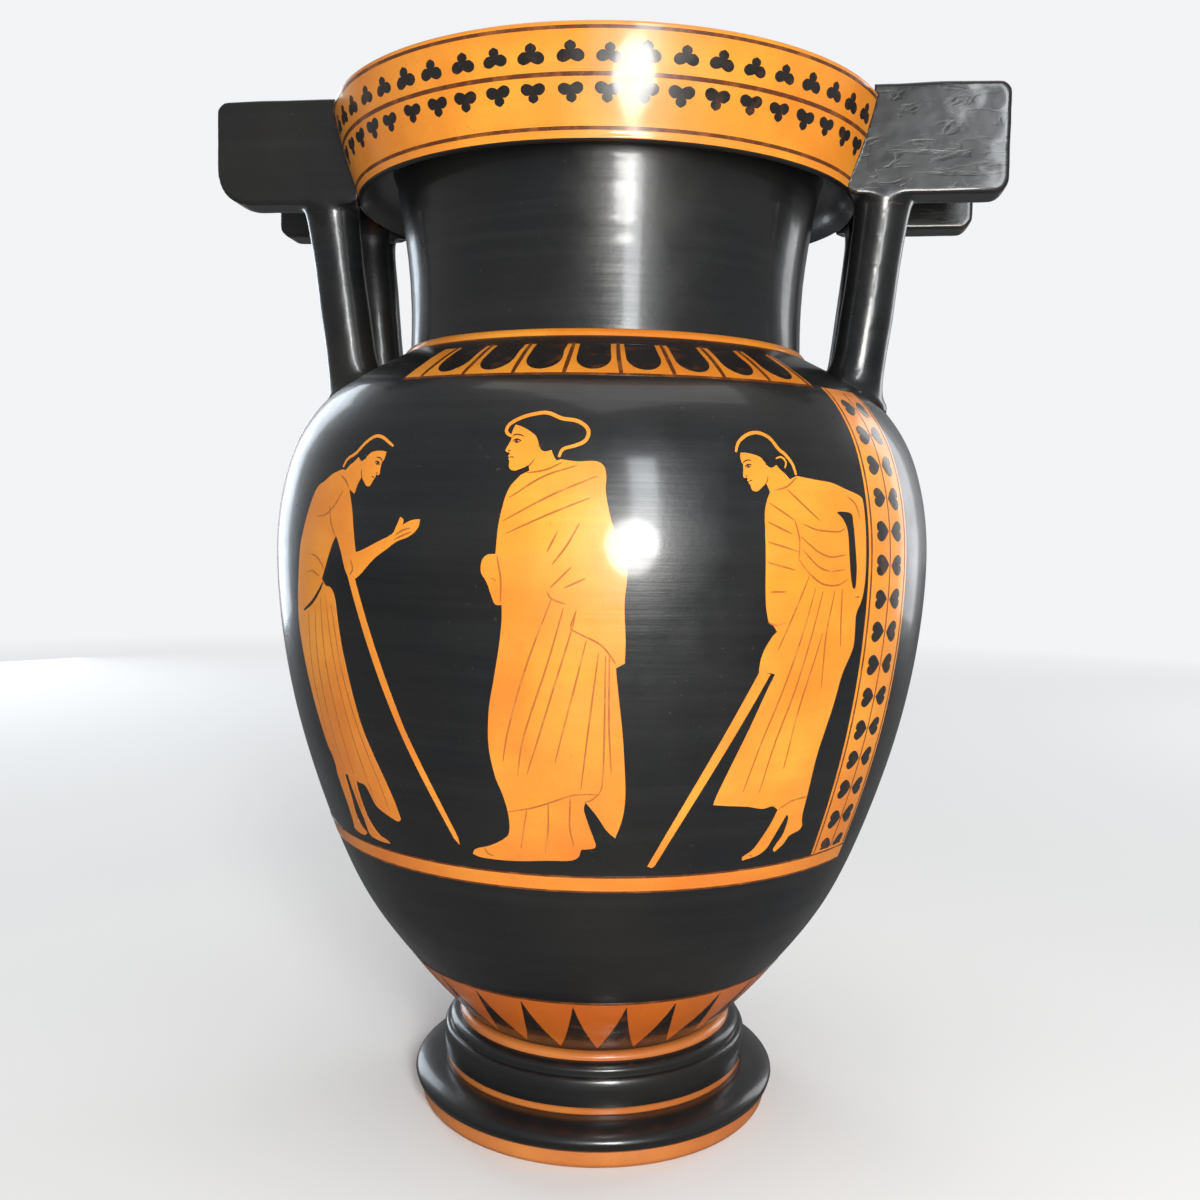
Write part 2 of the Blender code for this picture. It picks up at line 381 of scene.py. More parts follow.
class Shader:
    """A Principled material with short ways to add the nodes behind it."""

    def __init__(self, name):
        self.material = bpy.data.materials.new(name)
        self.material.use_nodes = True
        self.tree = self.material.node_tree
        self.surface = self.tree.nodes["Principled BSDF"]
        self.place = self.node("ShaderNodeTexCoord").outputs["Object"]
        self.bumped = None

    def node(self, kind, settings=(), **inputs):
        made = self.tree.nodes.new(kind)
        for key, value in dict(settings).items():
            setattr(made, key, value)
        for key, value in inputs.items():
            self.feed(made.inputs[key.replace("_", " ")], value)
        return made

    def feed(self, socket, value):
        if isinstance(value, bpy.types.NodeSocket):
            self.tree.links.new(value, socket)
        else:
            socket.default_value = value

    def noise(self, scale, detail=3.0, roughness=0.5, stretch=(1, 1, 1), distortion=0.0):
        mapping = self.node("ShaderNodeMapping", Vector=self.place, Scale=stretch)
        made = self.node(
            "ShaderNodeTexNoise",
            Vector=mapping.outputs[0],
            Scale=scale,
            Detail=detail,
            Roughness=roughness,
            Distortion=distortion,
        )
        return made.outputs["Fac"]

    def rings(self, scale, detail=3.0):
        """Noise that changes only with height: the marks of turning."""
        return self.noise(scale, detail, 0.6, (0.02, 0.02, 1))

    def spread(self, value, low, high, out_low=0.0, out_high=1.0):
        made = self.node("ShaderNodeMapRange", Value=value)
        made.inputs["From Min"].default_value = low
        made.inputs["From Max"].default_value = high
        made.inputs["To Min"].default_value = out_low
        made.inputs["To Max"].default_value = out_high
        return made.outputs["Result"]

    def mix(self, factor, first, second):
        made = self.node("ShaderNodeMix", {"data_type": "RGBA"})
        self.feed(made.inputs["Factor"], factor)
        for name, value in (("A", first), ("B", second)):
            self.feed(next(s for s in made.inputs if s.name == name and s.type == "RGBA"), value)
        return next(s for s in made.outputs if s.type == "RGBA")

    def tint(self, colour, mask, amount, other):
        """The colour, taken towards another one where the mask is high."""
        return self.mix(self.maths("MULTIPLY", mask, amount), colour, other)

    def patches(self, scale, low, high, detail=4):
        """A value that wanders between low and high in soft patches."""
        return self.spread(self.noise(scale, detail), 0.3, 0.7, low, high)

    def maths(self, operation, first, second):
        made = self.node("ShaderNodeMath", {"operation": operation})
        self.feed(made.inputs[0], first)
        self.feed(made.inputs[1], second)
        return made.outputs[0]

    def height(self):
        return self.node("ShaderNodeSeparateXYZ", Vector=self.place).outputs["Z"]

    def edges(self, low, high):
        """1 on convex edges, from the mesh's own curvature."""
        pointiness = self.node("ShaderNodeNewGeometry").outputs["Pointiness"]
        return self.spread(pointiness, low, high)

    def bump(self, height, strength, distance):
        made = self.node("ShaderNodeBump", Height=height, Strength=strength, Distance=distance)
        if self.bumped:
            self.feed(made.inputs["Normal"], self.bumped)
        self.bumped = made.outputs["Normal"]

    def finish(self, colour, roughness, coat, coat_roughness=0.06, specular=0.5):
        values = {
            "Base Color": colour,
            "Roughness": roughness,
            "Coat Weight": coat,
            "Coat Roughness": coat_roughness,
            "Specular IOR Level": specular,
        }
        if self.bumped:
            values["Normal"] = self.bumped
        for key, value in values.items():
            self.feed(self.surface.inputs[key], value)
        return self.material


BLUE_BLACK = (0.0055, 0.0062, 0.0075, 1)
BROWN_BLACK = (0.012, 0.011, 0.0095, 1)
TURNING_GREY = (0.017, 0.0175, 0.018, 1)
WORN_CLAY = (0.16, 0.055, 0.025, 1)
DUST = (0.05, 0.04, 0.035, 1)
DARK_GRAIN = (0.30, 0.085, 0.012, 1)
# Redder, darker clay for the lowest part of the bowl: partly the clay's own tone, partly painted shade.
DEEP_RED_AND_SHADE = (0.42, 0.065, 0.006, 1)


def gloss_material(name, turning=1.0, ripples=420, hammered=0.0):
    """Black gloss slip: near black with brown and blue-grey patches, a soft sheen, and turning marks."""
    shader = Shader(name)
    colour = shader.mix(shader.spread(shader.noise(14, 4), 0.35, 0.7), BLUE_BLACK, BROWN_BLACK)
    streak = shader.spread(shader.rings(260, 4), 0.45, 0.75)
    colour = shader.tint(colour, streak, 0.35, TURNING_GREY)
    rubbed = shader.spread(shader.noise(90, 4), 0.42, 0.62)
    worn = shader.maths("MULTIPLY", shader.edges(0.53, 0.60), rubbed)
    colour = shader.tint(colour, worn, 0.75, WORN_CLAY)
    speck = shader.spread(shader.noise(700, 2), 0.70, 0.76)
    colour = shader.tint(colour, speck, 0.5, DUST)
    shader.bump(shader.rings(ripples, 4), 0.22 * turning, 0.0004)
    shader.bump(shader.noise(520, 3), 0.10, 0.0003)
    if hammered:
        dents = shader.noise(150, 3, 0.6, (0.5, 1, 1.6), 0.7)
        shader.bump(shader.spread(dents, 0.54, 0.70, 1.0, 0.0), hammered, 0.0007)
    rough = shader.patches(60, 0.26, 0.40)
    return shader.finish(colour, rough, coat=0.40, coat_roughness=0.11, specular=0.45)


def clay_material(name, light, dark, redder_and_shaded_below=None):
    """Burnished orange clay: cloudy, streaked round the vase, speckled, under a thin gloss. Given two
    heights, it turns redder and darker towards the foot, partly the clay's own tone and partly painted
    shade.
    """
    shader = Shader(name)
    cloud = shader.spread(shader.noise(22, 5, 0.55), 0.32, 0.68)
    colour = shader.mix(cloud, light, dark)
    streak = shader.spread(shader.rings(300, 4), 0.4, 0.8)
    colour = shader.tint(colour, streak, 0.28, dark)
    grain = shader.spread(shader.noise(900, 3), 0.62, 0.75)
    colour = shader.tint(colour, grain, 0.30, DARK_GRAIN)
    # Redder and darker towards the foot: partly the clay's own tone, partly painted shade where less light
    # falls.
    if redder_and_shaded_below:
        low, high = redder_and_shaded_below
        clay_and_shade_near_foot = shader.spread(shader.height(), low, high, 1.0, 0.0)
        colour = shader.tint(colour, clay_and_shade_near_foot, 0.75, DEEP_RED_AND_SHADE)
    shader.bump(shader.rings(420, 4), 0.16, 0.0003)
    shader.bump(shader.noise(800, 3), 0.12, 0.0002)
    return shader.finish(colour, shader.patches(80, 0.30, 0.46), coat=0.45, coat_roughness=0.10)


def slip_material(name, thick, thin, cover):
    """Painted slip: thick where the brush was loaded, and browner where it ran dry."""
    shader = Shader(name)
    dry = shader.spread(shader.noise(170, 4, 0.6), cover, cover + 0.18)
    colour = shader.mix(dry, thick, thin)
    grain = shader.spread(shader.noise(1100, 2), 0.6, 0.75)
    colour = shader.tint(colour, grain, 0.35, thin)
    shader.bump(shader.noise(600, 3), 0.15, 0.0002)
    return shader.finish(colour, shader.patches(120, 0.24, 0.40, 3), coat=0.4, coat_roughness=0.09)


CLAY_LIGHT = (0.80, 0.305, 0.024, 1)
CLAY_DARK = (0.62, 0.175, 0.011, 1)
FOOT_CLAY_LIGHT = (0.60, 0.205, 0.040, 1)
FOOT_CLAY_DARK = (0.46, 0.125, 0.026, 1)

GLOSS = gloss_material("black_gloss")
HANDLE_GLOSS = gloss_material("handle_gloss", turning=1.6, ripples=190, hammered=0.08)
DENTED_GLOSS = gloss_material("dented_gloss", turning=0.5, hammered=0.20)
# The body clay reddens and darkens from 0.16 m down to 0.06 m: partly its own tone, partly painted shade.
CLAY = clay_material("orange_clay", CLAY_LIGHT, CLAY_DARK, (0.06, 0.16))
RIM_CLAY = clay_material("rim_clay", CLAY_LIGHT, CLAY_DARK)
FOOT_CLAY = clay_material("foot_clay", FOOT_CLAY_LIGHT, FOOT_CLAY_DARK)
BLACK_SLIP = slip_material("black_slip", (0.012, 0.010, 0.009, 1), (0.085, 0.028, 0.010, 1), 0.55)
BROWN_SLIP = slip_material("brown_slip", (0.10, 0.026, 0.006, 1), (0.24, 0.070, 0.012, 1), 0.50)
THIN_SLIP = slip_material("thin_slip", (0.34, 0.105, 0.014, 1), (0.50, 0.18, 0.028, 1), 0.50)


# Turned pieces. The lines run down the outer side.

BODY_LINE = fitted(
    smooth_curve(
        [
            (80.2, 305.9),
            (99.0, 295.5),
            (115.0, 283.0),
            (126.2, 262.0),
            (131.2, 230.0),
            (127.8, 186.0),
            (117.2, 141.5),
            (99.0, 95.0),
            (75.3, 61.0),
            (52.0, 34.9),
        ]
    ),
    "body",
)
NECK_LINE = fitted(
    smooth_curve([(86.8, 376.7), (84.6, 369.0), (80.8, 344.0), (79.4, 325.0), (79.4, 306.2)]),
    "neck",
)
WALL = 6.2
FLOOR_THICKNESS = 9.0
FLOOR_FILLET = 4.0
FLOOR_RADIUS = 50.0
FLOOR_RISE = 0.6
THROAT_DEPTH = 8.0

BOWL = Turned(BODY_LINE)


def body_piece():
    """The bowl: its outer line, a wall's thickness inside it, a flat floor and an open throat."""
    bottom, top = BODY_LINE[-1], BODY_LINE[0]
    floor = bottom[1] + FLOOR_THICKNESS
    inner = offset(BODY_LINE, -WALL)[::-1]
    wall = inner[(inner[:, 1] > floor + FLOOR_FILLET) & (inner[:, 1] < top[1] - THROAT_DEPTH)]
    dish = [(0, floor), (FLOOR_RADIUS * 0.6, floor), (FLOOR_RADIUS, floor + FLOOR_RISE), wall[0]]
    basin = smooth_curve(dish, 3)
    throat = smooth_curve([wall[-1], (NECK_LINE[-1][0] - WALL, top[1])], 2)
    line = np.vstack([basin[:-1], wall[:-1], throat, BODY_LINE, [(0, bottom[1])]])
    piece = turned_piece("bowl", [(line, GLOSS)])
    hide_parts("body")


TURNING_MARKS = 14
OVALITY = 0.05


def turning_marks():
    """The potter's hand on the neck: small waves up its height, and a slight oval."""
    ridges = random.Random(3)
    waves = [
        (ridges.uniform(0.25, 2.2), ridges.uniform(0, 6.3), ridges.uniform(0.003, 0.009))
        for _ in range(TURNING_MARKS)
    ]

    def wobble(turns, z):
        depth = sum(size * math.sin(z * pace + phase) for pace, phase, size in waves)
        return depth + OVALITY * np.sin(2 * turns + 1.0)

    return wobble


def neck_piece():
    """The neck reaches down to the bowl's seat and up into the rim."""
    line = NECK_LINE.copy()
    line[0, 1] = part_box("neck")[1].z / MM
    line[-1, 1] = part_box("body")[1].z / MM
    bore = (line - (WALL, 0))[::-1]
    loop = np.vstack([line, bore])
    piece = turned_piece("neck_wall", [(loop, GLOSS)], closed=True, wobble=turning_marks())
    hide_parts("neck")


RIM_EDGE = 1.2
RIM_STEP = 1.2
LIP_INSET = 11.0
LIP_ROUNDING = 1.8
LIP_PAINT_ANGLE = -28


def rim_lines():
    """The fascia from its top edge to its lip, then the underside and the bore."""
    low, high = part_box("mouth_rim")
    radius, top, bottom = high.x / MM, high.z / MM, low.z / MM
    neck_radius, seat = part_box("neck")[1].x / MM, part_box("neck")[1].z / MM
    lip = np.array([radius - LIP_INSET, bottom + LIP_ROUNDING])
    upper = arc((radius - RIM_EDGE, top - RIM_EDGE), RIM_EDGE, 90, 8, 5)
    painted_lip = arc(lip, LIP_ROUNDING, 8, LIP_PAINT_ANGLE, 4)
    face = [upper[-1], (radius - 1.9, top - 9), (radius - 4.6, top - 19), painted_lip[0]]
    fascia = np.vstack([upper[:-1], smooth_curve(face, RIM_STEP)[:-1], painted_lip])

    black_lip = arc(lip, LIP_ROUNDING, LIP_PAINT_ANGLE, -90, 5)
    hollow = [black_lip[-1], lip + (-2.6, 1.6), (neck_radius + 6.2, seat - 3.0), (neck_radius + 1.0, seat)]
    under = np.vstack([black_lip[:-1], smooth_curve(hollow, RIM_STEP)])

    bore = neck_radius - WALL
    inner = [(bore, seat), (bore + 0.8, seat + 8), (bore + 3.2, top - 7.5), (bore + 5.8, top - 3.0)]
    inner.append((bore + 10.4, top - 0.5))
    return fascia, under, smooth_curve(inner, RIM_STEP)


def rim_piece():
    """The overhanging rim, with clay on its fascia. Returns the fascia as a surface to paint on."""
    fascia, under, inner = rim_lines()
    hidden = np.vstack([under[-1], inner[0]])
    sections = [(fascia, RIM_CLAY), (under, GLOSS), (hidden, GLOSS), (inner, GLOSS)]
    piece = turned_piece("rim", sections, closed=True)
    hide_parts("mouth_rim")
    return Turned(fascia)


FOOT_STEP = 0.6
FINE_STEP = 0.5
FOOT_BAND_TOP = 6.6
FOOT_BAND_RADIUS = 71.6
FOOT_LEDGE = 62.5
TORUS_WIDEST = 10.6


def foot_base():
    """A disc with a clay band under a black torus, and a shallow recess beneath."""
    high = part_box("foot_disc")[1]
    radius, top = high.x / MM, high.z / MM
    edge = FOOT_BAND_RADIUS
    shelf = [(0.0, top), (FOOT_LEDGE - 1.4, top), (FOOT_LEDGE, top)]
    width, height = radius - FOOT_LEDGE, top - TORUS_WIDEST
    torus = arc((0, 0), 1, 90, 0, 18) * (width, height) + (FOOT_LEDGE, TORUS_WIDEST)
    under = [torus[-1], (radius - 0.9, TORUS_WIDEST - 2.4), (edge + 0.9, FOOT_BAND_TOP)]
    side = smooth_curve([under[-1], (edge + 1.1, 4.6), (edge + 0.9, 2.0), (edge, 0.6)], 0.8)
    recess = [(edge, 0.6), (edge - 0.6, 0.0), (55.0, 0.0), (54.0, 0.5), (49.0, 6.0), (20.0, 8.3), (0.0, 8.5)]
    sections = [
        (shelf, FOOT_CLAY),
        (torus, GLOSS),
        (smooth_curve(under, FOOT_STEP), GLOSS),
        (side, FOOT_CLAY),
        (recess, FOOT_CLAY),
    ]
    piece = turned_piece("foot_base", sections)
    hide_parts("foot_disc")


def foot_moulding():
    """The collar: a clay bead under the bowl, a black moulding, and a clay line at its root."""
    low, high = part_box("foot_collar")
    bottom, top, reach = low.z / MM, high.z / MM, high.x / MM
    fillet = reach - 2.5
    bead = smooth_curve([(53.6, top + 2.8), (55.6, top + 2.5), (57.0, top + 1.4), (57.2, top)], 0.4)
    upper = [bead[-1], (fillet - 1.6, top - 0.7), (fillet - 0.2, top - 2.0), (fillet, top - 3.0)]
    plain = [(fillet, top - 3.0), (fillet, top - 4.0), (fillet + 0.1, top - 4.5)]
    moulding = [plain[-1], (reach - 1.0, top - 5.0), (reach - 0.2, top - 6.9), (reach, top - 10.0)]
    moulding.append((reach - 0.5, top - 15.6))
    clay_line = [moulding[-1], (reach - 1.2, top - 16.3), (reach - 1.3, bottom)]
    sections = [
        ([(0.0, top), (51.0, top), bead[0]], GLOSS),
        (bead, FOOT_CLAY),
        (smooth_curve(upper, FINE_STEP), GLOSS),
        (plain, GLOSS),
        (smooth_curve(moulding, FINE_STEP), GLOSS),
        (smooth_curve(clay_line, FOOT_STEP), FOOT_CLAY),
        ([clay_line[-1], (0.0, bottom)], GLOSS),
    ]
    piece = turned_piece("foot_moulding", sections)
    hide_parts("foot_collar")


# Handles. Each is two arms and a plate. An arm is a leaning column that flows into an upright slab.
# The whole handle is fused and softened as clay would be, and then parted along its joints.

VOXEL = 0.9
SOFTENING = 12
COLUMN_SIDES = 40
COLUMN_RADIUS = 10.0
COLUMN_STEP = 1.0
COLUMN_BURIED = 13.0
COLUMN_FLARE = 3.2
FLARE_HEIGHT = 3.4
COLUMN_HEAD = 12.0
HEAD_FLARE = 1.1
HEAD_FLARE_HEIGHT = 4.5
HEAD_TAPER = 6.0
LEAN = np.array([0.1144, 0.0787])
COLUMN_JOINT_DROP = 3.0
SLAB_ROOT = 10.0
UNDER_RIM = 6.0
TOP_CORNER = 4.5
LOW_CORNER = 5.0
ROUNDED_LOW_CORNER = 13.0
REAR_SHORTFALL = 3.5
CLEARANCE = 0.05
UNEVEN = 0.30
WAVE_LENGTH = 22
DENT_LENGTHS = (15, 12, 7)
COLUMN_DENTS = 0.04
SLAB_DENTS = 0.06
DEEP_DENTS = 0.12
PLATE_OVERLAP = 2.0
PLATE_JOINT_INSET = 2.4
PLATE_FILLET = 4.0


def prism(outline, near, far):
    """Points and faces of an (x, z) outline that runs clockwise from -y, extruded along y."""
    count = len(outline)
    points = [(x, near, z) for x, z in outline] + [(x, far, z) for x, z in outline]
    faces = [tuple(range(count)), tuple(range(2 * count - 1, count - 1, -1))]
    faces += [(k, k + count, (k + 1) % count + count, (k + 1) % count) for k in range(count)]
    return points, faces


def shoulder_height(radius):
    """The bowl's height at a radius, on its shoulder."""
    shoulder = BODY_LINE[: np.argmax(BODY_LINE[:, 0]) + 1]
    return np.interp(radius, shoulder[:, 0], shoulder[:, 1])


def rim_radius(face, z):
    """The radius of the rim's face at a height, and its lip's radius further down."""
    upper = face[: np.argmin(face[:, 1])]
    return np.interp(-z, -upper[:, 1], upper[:, 0])


def slab_blank(box, low_corner):
    """An upright slab with rounded outer corners and a root inside the rim."""
    low, high = box
    root = low.x - SLAB_ROOT
    upper = arc((high.x - TOP_CORNER, high.z - TOP_CORNER), TOP_CORNER, 90, 0, 5)
    lower = arc((high.x - low_corner, low.z + low_corner), low_corner, 0, -90, 5)
    buried = [(low.x + 3.0, low.z), (root, low.z + UNDER_RIM), (root, high.z)]
    outline = np.vstack([upper, lower, buried])
    return prism(outline, high.y, low.y)


def column_blank(box):
    """A round column whose foot flares on the shoulder, and whose head flares under the slab."""
    low, high = box
    top = high.z
    centre = np.array([high.x, high.y]) - COLUMN_RADIUS
    foot = shoulder_height(np.hypot(low.x + COLUMN_RADIUS, low.y + COLUMN_RADIUS))
    heights = np.arange(foot - COLUMN_BURIED, top + COLUMN_HEAD, COLUMN_STEP)
    around = arc((0, 0), 1, 0, 360, COLUMN_SIDES)[:-1]
    points = []
    for z in heights:
        middle = centre - LEAN * (top - z)
        ground = shoulder_height(np.linalg.norm(middle + COLUMN_RADIUS * around, axis=1))
        above_ground = (z - ground).clip(0)
        below_head, into_slab = max(top - z, 0), max(z - top, 0)
        head = HEAD_FLARE * (math.exp(-below_head / HEAD_FLARE_HEIGHT) - into_slab / HEAD_TAPER)
        radius = COLUMN_RADIUS + head + COLUMN_FLARE * np.exp(-above_ground / FLARE_HEIGHT)
        points += [(x, y, z) for x, y in middle + around * radius[:, None]]
    faces = [tuple(reversed(range(COLUMN_SIDES)))]
    for start in range(0, len(points) - COLUMN_SIDES, COLUMN_SIDES):
        for k in range(COLUMN_SIDES):
            corner, beside = start + k, start + (k + 1) % COLUMN_SIDES
            faces.append((corner, beside, beside + COLUMN_SIDES, corner + COLUMN_SIDES))
    faces.append(tuple(range(len(points) - COLUMN_SIDES, len(points))))
    return points, faces


def positive_box(node):
    """A node's box in millimetres, brought to the +X, +Y quarter."""
    low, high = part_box(node)
    corners = [(min(abs(a), abs(b)), max(abs(a), abs(b))) for a, b in zip(low[:2], high[:2])]
    (x_low, x_high), (y_low, y_high) = corners
    return Vector((x_low, y_low, low.z)) / MM, Vector((x_high, y_high, high.z)) / MM


def fused(blanks):
    """One softened skin round overlapping closed blanks."""
    points, faces = [], []
    for blank_points, blank_faces in blanks:
        start = len(points)
        points += [tuple(place) for place in blank_points]
        faces += [tuple(start + k for k in face) for face in blank_faces]
    mesh = bpy.data.meshes.new("handle_blank")
    mesh.from_pydata(points, [], faces)
    blank = bpy.data.objects.new("handle_blank", mesh)
    bpy.context.scene.collection.objects.link(blank)
    remesh = blank.modifiers.new("Fuse", "REMESH")
    remesh.mode = "VOXEL"
    remesh.voxel_size = VOXEL
    soften = blank.modifiers.new("Soften", "SMOOTH")
    soften.factor = 0.5
    soften.iterations = SOFTENING
    graph = bpy.context.evaluated_depsgraph_get()
    made = bpy.data.meshes.new_from_object(blank.evaluated_get(graph))
    bpy.data.objects.remove(blank)
    return made


def uneven(place, side, depth):
    """How far hand-shaped clay stands off its plain form: slow waves, and dents on the slabs."""
    wave = noise.noise(place / WAVE_LENGTH + Vector((7 * side, 3, 1)))
    across = Vector(size / length for size, length in zip(place, DENT_LENGTHS))
    dents = noise.fractal(across, 0.8, 2.0, 3)
    return UNEVEN * wave + depth * dents


def fit_to_vessel(place, face):
    """Keeps a handle's ends on the rim's face and on the shoulder."""
    edge = rim_radius(face, place.z) + CLEARANCE
    if place.z > face[:, 1].min() - UNDER_RIM and math.hypot(place.x, place.y) < edge:
        place.x = math.copysign(math.sqrt(edge**2 - place.y**2), place.x)
    ground = shoulder_height(math.hypot(place.x, place.y)) + CLEARANCE
    if place.z < ground:
        place.z = ground


def in_quarter(blank, side, end):
    """A blank of the +X, +Y quarter, mirrored to its own quarter with its faces still outwards."""
    points, faces = blank
    placed = [(x * side, y * end, z) for x, y, z in points]
    if side * end < 0:
        faces = [tuple(reversed(corners)) for corners in faces]
    return placed, faces


def handle_mesh(side_name, side):
    """Two arms and the plate between them, fused."""
    blanks = []
    for end_name, end in (("front", -1), ("rear", 1)):
        arm = side_name + "_" + end_name
        slab_box = positive_box("handle_cheek_" + arm)
        if end_name == "rear":
            slab_box[1].x -= REAR_SHORTFALL
        low_corner = ROUNDED_LOW_CORNER if arm == "left_front" else LOW_CORNER
        blanks.append(in_quarter(slab_blank(slab_box, low_corner), side, end))
        blanks.append(in_quarter(column_blank(positive_box("column_" + arm)), side, end))
    low, high = positive_box("handle_plate_" + side_name)
    reach = slab_box[0].y + PLATE_OVERLAP
    root = low.x - SLAB_ROOT
    plate = prism([(root, low.z), (root, high.z), (high.x, high.z), (high.x, low.z)], reach, -reach)
    blanks.append(in_quarter(plate, side, 1))
    return fused(blanks)


def dent_depth(side, place, slab_bottom):
    """The right front slab is dented, and the others are nearly smooth."""
    if place.z < slab_bottom:
        return COLUMN_DENTS
    return DEEP_DENTS if side > 0 and place.y < 0 else SLAB_DENTS


def shaped_handle(side_name, side, face):
    """The fused handle as a bmesh, uneven all over and fitted to the rim and the shoulder."""
    made = handle_mesh(side_name, side)
    form = bmesh.new()
    form.from_mesh(made)
    bpy.data.meshes.remove(made)
    slab_bottom = positive_box("handle_cheek_" + side_name + "_front")[0].z
    form.normal_update()
    pushes = []
    for corner in form.verts:
        depth = dent_depth(side, corner.co, slab_bottom)
        pushes.append(corner.normal * uneven(corner.co, side, depth))
    for corner, push in zip(form.verts, pushes):
        corner.co += push
        fit_to_vessel(corner.co, face)
    return form


def handle_part_name(centre, side_name, column_joint, plate_joint, plate_bottom):
    """The CAD node that a place on a handle belongs to."""
    end_name = "front" if centre.y < 0 else "rear"
    if centre.z < column_joint:
        return "column_" + side_name + "_" + end_name
    if abs(centre.y) < plate_joint and centre.z > plate_bottom:
        return "handle_plate_" + side_name
    return "handle_cheek_" + side_name + "_" + end_name


def handle_pieces(side_name, side, face):
    """Cuts a handle along its joints and makes each part a piece of its own."""
    form = shaped_handle(side_name, side, face)
    slab_low = positive_box("handle_cheek_" + side_name + "_front")[0]
    plate_bottom = positive_box("handle_plate_" + side_name)[0].z - PLATE_FILLET
    column_joint = slab_low.z - COLUMN_JOINT_DROP
    plate_joint = slab_low.y - PLATE_JOINT_INSET
    planes = [((0, 0, column_joint), (0, 0, 1))]
    planes += [((0, y, 0), (0, 1, 0)) for y in (plate_joint, -plate_joint)]
    for place, normal in planes:
        everything = form.verts[:] + form.edges[:] + form.faces[:]
        bmesh.ops.bisect_plane(form, geom=everything, dist=1e-4, plane_co=place, plane_no=normal)
    form.normal_update()
    outward = form.verts.layers.float_vector.new("outward")
    for corner in form.verts:
        corner[outward] = corner.normal
    owners = [
        handle_part_name(surface.calc_center_median(), side_name, column_joint, plate_joint, plate_bottom)
        for surface in form.faces
    ]
    for node in sorted(set(owners)):
        part = form.copy()
        others = [surface for surface, owner in zip(part.faces, owners) if owner != node]
        bmesh.ops.delete(part, geom=others, context="FACES")
        add_handle_part(node, part)
        part.free()
    form.free()


def add_handle_part(node, part):
    """One part of the fused handle, with its joints closed by flat caps."""
    joints = [edge for edge in part.edges if edge.is_boundary]
    caps = set(bmesh.ops.holes_fill(part, edges=joints)["faces"])
    part.normal_update()
    part.verts.index_update()
    outward = part.verts.layers.float_vector["outward"]
    points = [tuple(corner.co) for corner in part.verts]
    faces = [tuple(corner.index for corner in surface.verts) for surface in part.faces]
    normals = []
    for surface in part.faces:
        normals += [surface.normal if surface in caps else corner[outward] for corner in surface.verts]
    material = DENTED_GLOSS if node == "handle_cheek_right_front" else HANDLE_GLOSS
    names = {"column": "arm_column", "handle_cheek": "arm_slab", "handle_plate": "top_plate"}
    kind = next(kind for kind in names if node.startswith(kind))
    piece = make_piece(node.replace(kind, names[kind]), points, faces, [material], normals)
    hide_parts(node)


# Painted bands and patterns. A side is (shift, flip): where its middle lies, and -1 where it is mirrored.

PANEL_LEFT = -185.0
PANEL_RIGHT = 145.0
BORDER_WIDTH = 28.0
SIDES = ((0.0, 1), (ROUND / 2, -1))
GROUND_TOP = 122.7
GROUND_BOTTOM = 116.4
TONGUES_TOP = 9.6
TONGUE_COUNT = 8
TONGUE_FIRST = -23.2
TONGUE_PITCH = 9.45
TONGUES_LEFT = -32.0
TONGUES_RIGHT = 48.5
TONGUES_BOTTOM = 34.0
TONGUES_CLAY_TOP = 8.0
TONGUES_LINE = 3.0
TONGUE_DIVIDER = 1.9
HAND_SEED = 11
hand = random.Random(HAND_SEED)


class Coats:
    """The clay, black and brown skins of one painted area of the bowl."""

    def __init__(self):
        self.clay = Skins(BOWL, CLAY_LIFT)
        self.black = Skins(BOWL, SLIP_LIFT)
        self.brown = Skins(BOWL, SLIP_LIFT)

    def pieces(self, name):
        self.clay.piece(name + "_clay", CLAY)
        self.black.piece(name + "_black", BLACK_SLIP)
        self.brown.piece(name + "_brown", BROWN_SLIP)


def at_height(z):
    """Height along the bowl's own line, for a height above the table."""
    return BOWL.flat([(0, z)])[0][1]


def ring_line(skins, height, width):
    """A painted line all the way round, centred on a height."""
    skins.add(full_band(height + width / 2, height - width / 2))


def side_line(skins, x_from, x_to, height, width):
    skins.add(band(x_from, x_to, height + width / 2, height - width / 2))


def upright_line(skins, x, top, bottom, width):
    skins.add(band(x - width / 2, x + width / 2, top, bottom, width))


LEAF_STEP = 0.9
LEAF_LENGTH = 8.6
LEAF_WIDTH = 7.6
LEAF_PITCH = 11.65
LEAF_FROM_MIDDLE = 5.2
FIRST_LEAF = 1.8
BORDER_LINE_INSET = 1.6


def leaf(way, length, width):
    """A heart-shaped ivy leaf that points along x: a tip, two lobes and the notch of the stem."""
    upper = [(-0.52, 0.0), (-0.20, 0.36), (0.12, 0.50), (0.40, 0.36), (0.44, 0.12)]
    lower = [(x, -y) for x, y in reversed(upper[1:])]
    lobes = np.array(upper) * (length, width)
    return_lobes = np.array([(0.30, 0.0)] + lower) * (length, width)
    outline = ring(lobes.tolist(), return_lobes.tolist(), step=LEAF_STEP)
    return outline * (-way, 1)


